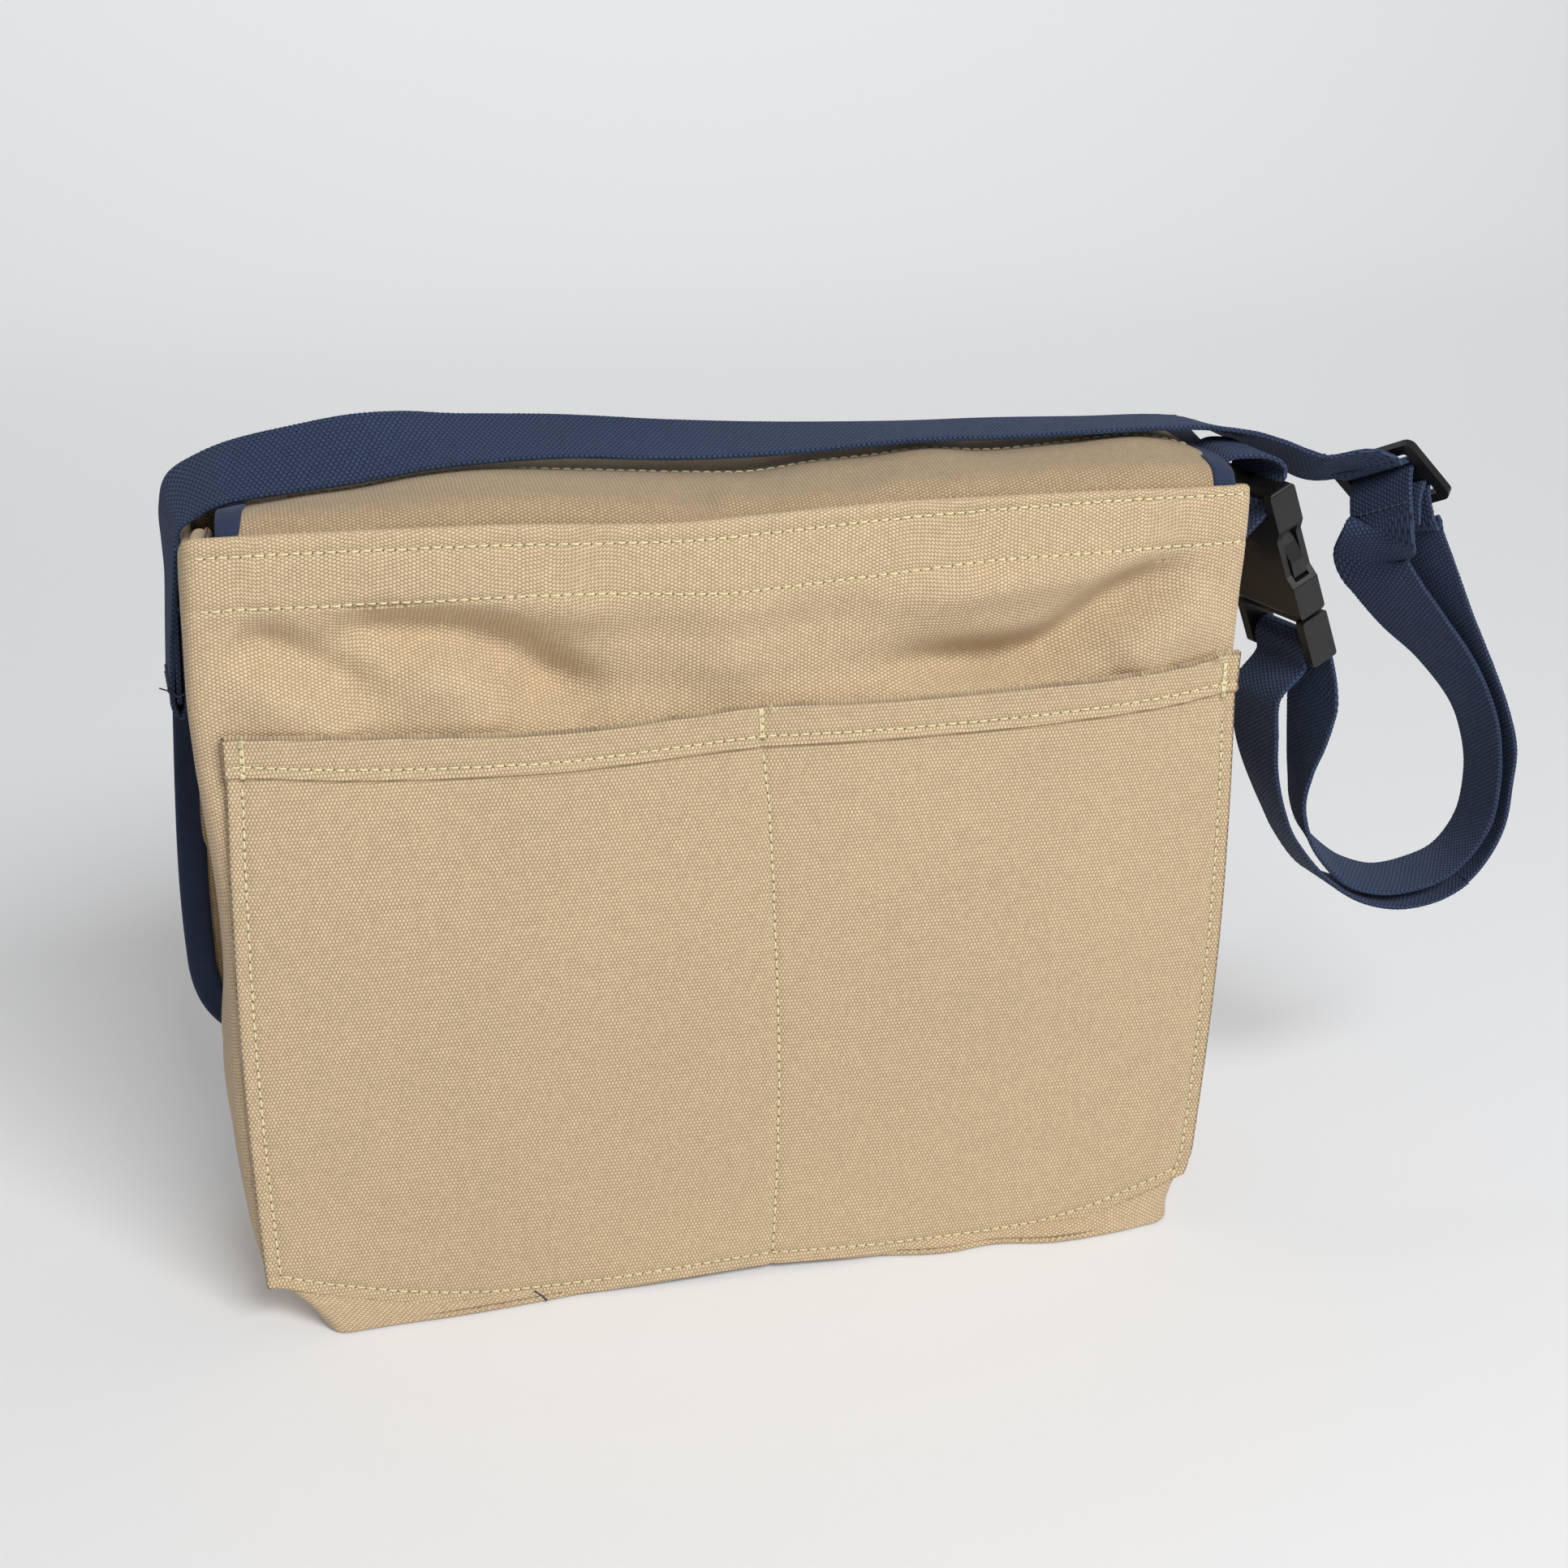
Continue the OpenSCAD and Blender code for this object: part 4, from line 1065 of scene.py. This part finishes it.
def webbing(name, stations, n=6, caps=(True, True), seed=1):
    """A run of webbing through stations of a middle point and a direction across."""
    S = smooth_rows(stations, n)
    # even spacing, so that the weave and the edge keep one pitch
    mid = S[:, :3]
    run = np.concatenate([[0], np.cumsum(np.linalg.norm(np.diff(mid, axis=0), axis=1))])
    count = max(int(run[-1] / 0.75), 8)
    at = np.linspace(0, run[-1], count)
    S = np.stack([np.interp(at, run, S[:, k]) for k in range(6)], 1)
    mid, side = S[:, :3], S[:, 3:]
    T = np.gradient(mid, axis=0)
    T /= np.linalg.norm(T, axis=1, keepdims=True)
    side = side - np.sum(side * T, axis=1, keepdims=True) * T
    side /= np.linalg.norm(side, axis=1, keepdims=True)
    up = np.cross(T, side)
    sec = web_section()
    rng = np.random.default_rng(seed)
    scallop = 0.16 * np.cos(at / 1.55 * 2 * math.pi)
    wob = 0.10 * np.sin(at / 17.0 + seed) + 0.06 * np.sin(at / 5.3 + 2 * seed)
    rows = []
    for a, b in sec:
        edge = max(0.0, (abs(a) - 11.6) / 0.9)
        w = a + np.sign(a) * edge * (scallop + wob * 0.5 + 0.04 * rng.standard_normal(count))
        cup = 0.25 * (a / 12.5) ** 2 * np.sin(at / 40.0 + seed)
        rows.append(mid + side * w[:, None] + up * (b + cup)[:, None])
    G = np.stack(rows, 1)
    m = len(sec)
    lap = np.concatenate([[0], np.cumsum([math.dist(p, q) for p, q in
                                          zip(sec, sec[1:] + sec[:1])])])
    G = np.concatenate([G, G[:, :1]], 1)
    uv = np.stack([lap[None] + 0 * at[:, None], at[:, None] + 0 * lap[None]], -1)
    nu, nv, _ = G.shape
    verts, uvs = G.reshape(-1, 3), uv.reshape(-1, 2)
    faces = grid_faces(nu, nv, 0, flip=True)
    if caps[0]:
        faces.append([k for k in range(m)])
    if caps[1]:
        faces.append([(nu - 1) * nv + k for k in reversed(range(m))])
    ob = new_object(name, verts, faces, uvs, WEBBING)
    weld(ob, 1e-6)
    return ob


WEBBING = cloth_material("webbing", (0.034, 0.053, 0.108, 1), (0.005, 0.008, 0.020, 1),
                         row=0.00165, column=0.00125, depth=0.00055, sheen=0.10,
                         blotch=0.35, fuzz=0.6, sheen_tint=(0.5, 0.66, 1, 1))

strap = webbing("strap_webbing", STRAP + SLIDER_WRAP, caps=(True, False), seed=1)
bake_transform(strap)
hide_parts("strap_end", "strap_main")


def cut_webbing(name, stations, k, seed):
    """One run of webbing made as two pieces that share their cut, at station k."""
    steps = 6
    S = smooth_rows(stations, steps)
    first, second = S[:k * steps + 1], S[k * steps:]
    a = webbing(name + "_a", first, n=1, caps=(True, False), seed=seed)
    b = webbing(name + "_b", second, n=1, caps=(False, True), seed=seed)
    return a, b


out_run = [in_slider(11.8, -8.4), in_slider(14.2, -10.6)] + LOOP_OUT + PLUG_WRAP[:5]
loop_1, loop_2 = cut_webbing("loop_outer", out_run, 11, 2)
in_run = PLUG_WRAP[4:] + LOOP_IN + FOLD_OVER
loop_3, loop_4 = cut_webbing("loop_inner", in_run, 14, 3)
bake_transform(loop_1)
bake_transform(loop_2)
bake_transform(loop_3)
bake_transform(loop_4)
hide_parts("strap_loop")
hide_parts("strap_fold")

tab = webbing("anchor_tab_webbing", TAB, seed=4)
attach(tab, "bag")
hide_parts("anchor_tab")

# ---------------------------------------------------------------- hardware keeps its CAD shape


def moulded(node, width=0.0007):
    """A CAD node in black plastic, with its edges rounded as a mould leaves them."""
    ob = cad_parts[node]
    ob.data.materials.clear()
    ob.data.materials.append(PLASTIC)
    bevel = ob.modifiers.new("edge", "BEVEL")
    bevel.width, bevel.segments, bevel.limit_method = width, 3, "ANGLE"
    bevel.angle_limit = math.radians(35)
    ob.data.polygons.foreach_set("use_smooth", np.ones(len(ob.data.polygons), bool))
    return ob


for node in ("buckle_socket", "buckle_plug", "prong_near", "prong_far", "slider_bars"):
    moulded(node)

# ---------------------------------------------------------------- stitches


def stitch_row(path, normal, pitch=3.4, length=2.9, radius=0.30, start=0.0, lift=0.10, jitter=0.12,
               seed=7, tilt=0.0):
    """Thread crossings along a path of mm points, as verts and faces, and the holes between."""
    rng = np.random.default_rng(seed)
    path, normal = np.asarray(path, float), np.asarray(normal, float)
    run = np.concatenate([[0], np.cumsum(np.linalg.norm(np.diff(path, axis=0), axis=1))])
    verts, faces, holes = [], [], []
    rings, sides = 7, 6
    s = start + pitch / 2
    while s < run[-1] - pitch / 2:
        half = length / 2 * (1 + rng.uniform(-jitter, jitter) * 0.5)
        shift = rng.uniform(-1, 1) * 0.10
        q = np.linspace(-1, 1, rings)
        c = np.stack([np.interp(s + q * half, run, path[:, k]) for k in range(3)], 1)
        n = np.stack([np.interp(s + q * half, run, normal[:, k]) for k in range(3)], 1)
        n /= np.linalg.norm(n, axis=1, keepdims=True)
        t = np.gradient(c, axis=0)
        t /= np.linalg.norm(t, axis=1, keepdims=True)
        b = np.cross(n, t)
        rise = lift + radius * (0.55 - 1.6 * np.abs(q) ** 3.5)
        c = c + n * rise[:, None] + b * (shift + tilt * q)[:, None]
        r = radius * np.sqrt(np.maximum(1 - np.abs(q) ** 5, 0.04)) * (1 + rng.uniform(-0.1, 0.1))
        base = len(verts)
        for k in range(rings):
            for a in range(sides):
                ang = 2 * math.pi * a / sides
                verts.append(c[k] + r[k] * (n[k] * math.sin(ang) + b[k] * 1.15 * math.cos(ang)))
        for k in range(rings - 1):
            for a in range(sides):
                a2 = (a + 1) % sides
                faces.append([base + k * sides + a, base + (k + 1) * sides + a,
                              base + (k + 1) * sides + a2, base + k * sides + a2])
        faces.append([base + a for a in range(sides)])
        faces.append([base + (rings - 1) * sides + a for a in reversed(range(sides))])
        gap = (c[-1] + n[-1] * (radius * 1.05 - rise[-1] + 0.02), n[-1], t[-1], b[-1])
        holes.append(gap)
        s += pitch * (1 + rng.uniform(-jitter, jitter) * 0.25)
    return verts, faces, holes


def on_cloth(ob, path, normal, cast=None, reach=12.0):
    """Drops a path onto a piece's mesh, along cast or along the path's own normals."""
    tree = BVHTree.FromPolygons([v.co / MM for v in ob.data.vertices],
                                [tuple(f.vertices) for f in ob.data.polygons])
    P, N = np.array(path, float), np.array(normal, float)
    for k in range(len(P)):
        way = N[k] if cast is None else np.array(cast, float)
        hit, n, _, _ = tree.ray_cast(Vector(P[k] + way * reach), Vector(-way), 2 * reach)
        if hit is not None:
            P[k] = hit
            N[k] = way + np.array(n) * math.copysign(1, np.dot(n, way))
    for _ in range(6):
        N[1:-1] = (N[:-2] + 2 * N[1:-1] + N[2:]) / 4
    for _ in range(10):
        P[1:-1] = (P[:-2] + 2 * P[1:-1] + P[2:]) / 4
    return P, N / np.linalg.norm(N, axis=1, keepdims=True)


def stitches(name, rows, ground=None, material=None, cast=(0, -1, 0), **kw):
    verts, faces, dark = [], [], []
    material = material or THREAD
    for k, (path, normal) in enumerate(rows):
        if ground:
            path, normal = on_cloth(ground, path, normal, cast)
        v, f, holes = stitch_row(path, normal, seed=11 + 5 * k, **kw)
        faces += [[i + len(verts) for i in g] for g in f]
        verts += v
        n_thread = len(faces)
        # a small dark disc at each stitch end is painted shade in the needle hole
        if material is THREAD:
            for c, n, t, b in holes:
                base = len(verts)
                ring = [c + t * 0.34 * math.cos(a) + b * 0.28 * math.sin(a)
                        for a in np.arange(8) * math.pi / 4]
                verts += [p + n * 0.03 for p in ring] + [c + n * 0.10]
                faces += [[base + i, base + (i + 1) % 8, base + 8] for i in range(8)]
                dark += range(n_thread, len(faces))
                n_thread = len(faces)
    ob = new_object(name, verts, faces, None, material)
    if dark:
        ob.data.materials.append(HOLE_PAINTED_SHADE)
        for i in dark:
            ob.data.polygons[i].material_index = 1
    return ob


def line_on(points, surface, n=400):
    """A path on a surface. surface(x, z) gives points; points are (x, z)."""
    p = np.array(points, float)
    run = np.concatenate([[0], np.cumsum(np.linalg.norm(np.diff(p, axis=0), axis=1))])
    at = np.linspace(0, run[-1], n)
    x, z = np.interp(at, run, p[:, 0]), np.interp(at, run, p[:, 1])
    P = surface(x, z)
    e = 0.4
    du = surface(x + e, z) - surface(x - e, z)
    dv = surface(x, z + e) - surface(x, z - e)
    N = np.cross(du, dv)
    return P, N / np.linalg.norm(N, axis=1, keepdims=True)


def back_surface(x, z):
    return np.stack([x, -HALF_D - back_relief(x, z), z], -1)


def band_surface(x, z):
    P = pocket_point(x, z)
    v = (z - pocket_fold(x)) / (pocket_top(x) - pocket_fold(x))
    P[..., 1] -= 1.25 + 0.5 * ease(0.5, 1, v) - 0.6 * np.exp(-((z - pocket_fold(x) - 3.1) / 1.2) ** 2)
    return P


xs = np.linspace(-161, 162, 300)
hem_rows = [line_on(np.stack([xs, row_one(xs)], 1), back_surface),
            line_on(np.stack([xs, row_two(xs)], 1), back_surface)]
hem_thread = stitches("hem_stitches", hem_rows, body)
xs = np.linspace(-156, 159, 300)
band_rows = [line_on(np.stack([xs, pocket_fold(xs) + 3.1], 1), band_surface)]
band_thread = stitches("pocket_hem_stitches", band_rows, pocket_band)
zs = np.linspace(191, 20, 200)
zb = np.linspace(17, 188, 200)
xb = np.linspace(-154, 153, 300)
pocket_rows = [
    line_on(np.stack([pocket_left(zs) + 4.3, zs], 1), pocket_point),
    line_on(np.stack([xb, pocket_low(xb) + 4.2], 1), pocket_point),
    line_on(np.stack([pocket_right(zb) - 3.9, zb], 1), pocket_point),
    line_on(np.stack([divider_line(np.linspace(188, 7, 200)), np.linspace(188, 7, 200)], 1),
            pocket_point)]
pocket_thread = stitches("pocket_stitches", pocket_rows, pocket)
# the ends of the pocket's mouth are sewn back and forth
tack_rows = []
for x_of in (lambda z: pocket_left(z) + 4.6, lambda z: pocket_right(z) - 4.4, divider_line):
    for off in (-0.35, 0.35):
        z0 = np.linspace(206.5 if x_of is not divider_line else 203.6, 192.5, 60)
        tack_rows.append(line_on(np.stack([x_of(z0) + off, z0], 1), band_surface))
tack_thread = stitches("pocket_tacks", tack_rows, pocket_band, radius=0.36, length=3.2, pitch=2.6)
for ob in (hem_thread, band_thread, pocket_thread, tack_thread):
    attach(ob, "bag")

row = FLAP[:, 26]
flap_thread = stitches("flap_stitches", [(row[18:-6], FLAP_N[18:-6, 26])], crest_sheet,
                       cast=(0, 0, 1))
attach(flap_thread, "flap_top")

def tube(points, radius, sides=6, n=5):
    """Verts and faces of a thin thread along points."""
    C = smooth_rows(np.array(points, float), n)
    T = np.gradient(C, axis=0)
    T /= np.linalg.norm(T, axis=1, keepdims=True)
    side = np.cross(T, [0.3, 0.2, 0.93])
    side /= np.linalg.norm(side, axis=1, keepdims=True)
    up = np.cross(T, side)
    ang = np.arange(sides) * 2 * math.pi / sides
    G = C[:, None] + radius * (side[:, None] * np.cos(ang)[None, :, None]
                               + up[:, None] * np.sin(ang)[None, :, None])
    faces = []
    for k in range(len(C) - 1):
        for a in range(sides):
            b = (a + 1) % sides
            faces.append([k * sides + a, k * sides + b, (k + 1) * sides + b, (k + 1) * sides + a])
    faces.append(list(reversed(range(sides))))
    faces.append([(len(C) - 1) * sides + a for a in range(sides)])
    return G.reshape(-1, 3), faces


def loose_threads(name, paths, radius, material):
    verts, faces = [], []
    for path in paths:
        v, f = tube(path, radius)
        faces += [[i + len(verts) for i in g] for g in f]
        verts += v.tolist()
    return new_object(name, verts, faces, None, material)


def tuft(at, reach, count, seed):
    """A few short curved thread ends that start at one place."""
    rng = np.random.default_rng(seed)
    out = []
    for _ in range(count):
        way = rng.normal(size=3) * (1, 0.5, 0.7) + (0, -0.6, 0.5)
        way *= reach / np.linalg.norm(way) * rng.uniform(0.6, 1.1)
        bend = rng.normal(size=3) * reach * 0.25
        out.append([at, np.array(at) + way * 0.5 + bend, np.array(at) + way + bend * 0.4])
    return out


corner_z = pocket_top(158)
tufts = loose_threads("thread_ends", tuft((153.5, -51.6, corner_z), 3.4, 5, 1)
                      + tuft((-152.6, -50.6, pocket_top(-152) + 0.3), 2.6, 4, 2)
                      + tuft((7.0, -50.4, pocket_top(7) + 0.2), 2.2, 3, 3)
                      + tuft((128, -50.6, pocket_top(128) + 0.2), 2.4, 2, 4), 0.13, THREAD)
tick = loose_threads("navy_thread_end", [[(-73.5, -47.6, 4.2), (-71, -48.6, 2.4), (-69.6, -49.4, 0.9)]],
                     0.30, NAVY_THREAD)


def hem_roll():
    """The end of the gusset's hem, rolled up and seen from its end."""
    turn = np.linspace(0, 3.6 * math.pi, 60)
    r = 0.5 + 0.20 * turn
    C = np.stack([-160.2 + r * np.cos(turn + 2.2), 0 * turn, 261.0 + r * np.sin(turn + 2.2)], 1)
    y = np.linspace(-37.5, -12, 12)
    P = C[:, None] + np.stack([0.05 * (y + 37), y, -0.10 * (y + 37)], 1)[None]
    P[:, 0, 1] += 0.5 * np.sin(turn * 1.7)
    return cloth_sheet("gusset_hem_roll", P, np.stack([P[..., 1], (r * turn)[:, None] + 0 * y], -1),
                       1.0, DUCK, out=1)


roll = hem_roll()


def across(ob, name, centre, side, face, count_rows=(0.0,), along=(0, 0, 1), half=11.2):
    """Dark seams sewn across a webbing. face points out of the side that is sewn."""
    rows = []
    for off in count_rows:
        mid = np.array(centre, float) + np.array(along, float) * off
        P = mid + np.linspace(-half, half, 60)[:, None] * np.array(side, float)
        rows.append((P, np.repeat([np.array(face, float)], 60, 0)))
    return stitches(name, rows, ob, NAVY_THREAD, cast=tuple(face), pitch=2.6, length=2.2,
                    radius=0.34, lift=0.16)


end_seam = across(strap, "strap_end_stitches", (-172, 0, 210), (-0.06, 1, 0), (-1, 0, 0),
                  (0.0, 2.2))
x_out = turned([-1, 0, 0], SLIDER_TURN)
fold_seam = across(loop_4, "slider_fold_stitches", in_slider(-3.5, -13)[:3],
                   turned([0, 1, 0], SLIDER_TURN), x_out)
end_tails = loose_threads("strap_thread_ends", [
    [(-171.5, -12.2, 210.5), (-173.0, -13.6, 211.6), (-175.2, -13.8, 212.6)],
    [(-171.2, -12.3, 210.0), (-169.8, -13.4, 209.2), (-167.6, -13.6, 210.2)],
    [(-167.8, -12.3, 210.2), (-166.8, -13.4, 211.4), (-165.6, -13.6, 210.4)]], 0.26, NAVY_THREAD)
for ob, body_name in ((tufts, "bag"), (tick, "bag"), (roll, "bag"), (end_seam, "bag"),
                      (end_tails, "bag"), (fold_seam, "slider")):
    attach(ob, body_name)

# ---------------------------------------------------------------- floor and light


def make_floor():
    """The pale paper that the bag stands on, rising in a sweep behind it."""
    me = bpy.data.meshes.new("floor")
    n, R = 48, 3.2
    verts, faces = [], []
    for i in range(n + 1):
        for j in range(n + 1):
            x, y = -R + 2 * R * i / n, -R + 2 * R * j / n
            rise = max(0.0, y - 1.5)
            verts.append((x, y - 0.35 * rise, 0.55 * rise**1.6))
    for i in range(n):
        for j in range(n):
            a = i * (n + 1) + j
            faces.append([a, a + n + 1, a + n + 2, a + 1])
    me.from_pydata(verts, [], faces)
    me.polygons.foreach_set("use_smooth", np.ones(len(me.polygons), bool))
    ob = bpy.data.objects.new("floor", me)
    bpy.context.scene.collection.objects.link(ob)
    m, t, shader = principled("floor_paper")
    place = t.put("ShaderNodeTexCoord").outputs["Object"]
    speck = t.noise(place, 900.0, 2.0)
    t.wire(t.mix((0.75, 0.758, 0.772, 1), (0.78, 0.788, 0.802, 1), speck), shader.inputs["Base Color"])
    t.wire(t.span(speck, 0.3, 0.7, 0.75, 0.85), shader.inputs["Roughness"])
    shader.inputs["Specular IOR Level"].default_value = 0.2
    shader.inputs["Emission Color"].default_value = (1, 1, 1, 1)
    shader.inputs["Emission Strength"].default_value = 0.10
    me.materials.append(m)


make_floor()
world = bpy.data.worlds.new("studio")
world.use_nodes = True
world.node_tree.nodes["Background"].inputs[0].default_value = (1, 1, 1, 1)
world.node_tree.nodes["Background"].inputs[1].default_value = 0.30
bpy.context.scene.world = world
area_light("key", (0.45, -1.62, 1.62), (0, 0, 0.15), (1.1, 0.8), 43)
area_light("paper", (0.3, 1.4, 2.2), (0.5, 3.2, 0.5), (2.6, 0.8), 21)
bpy.context.scene.view_settings.view_transform = "Standard"
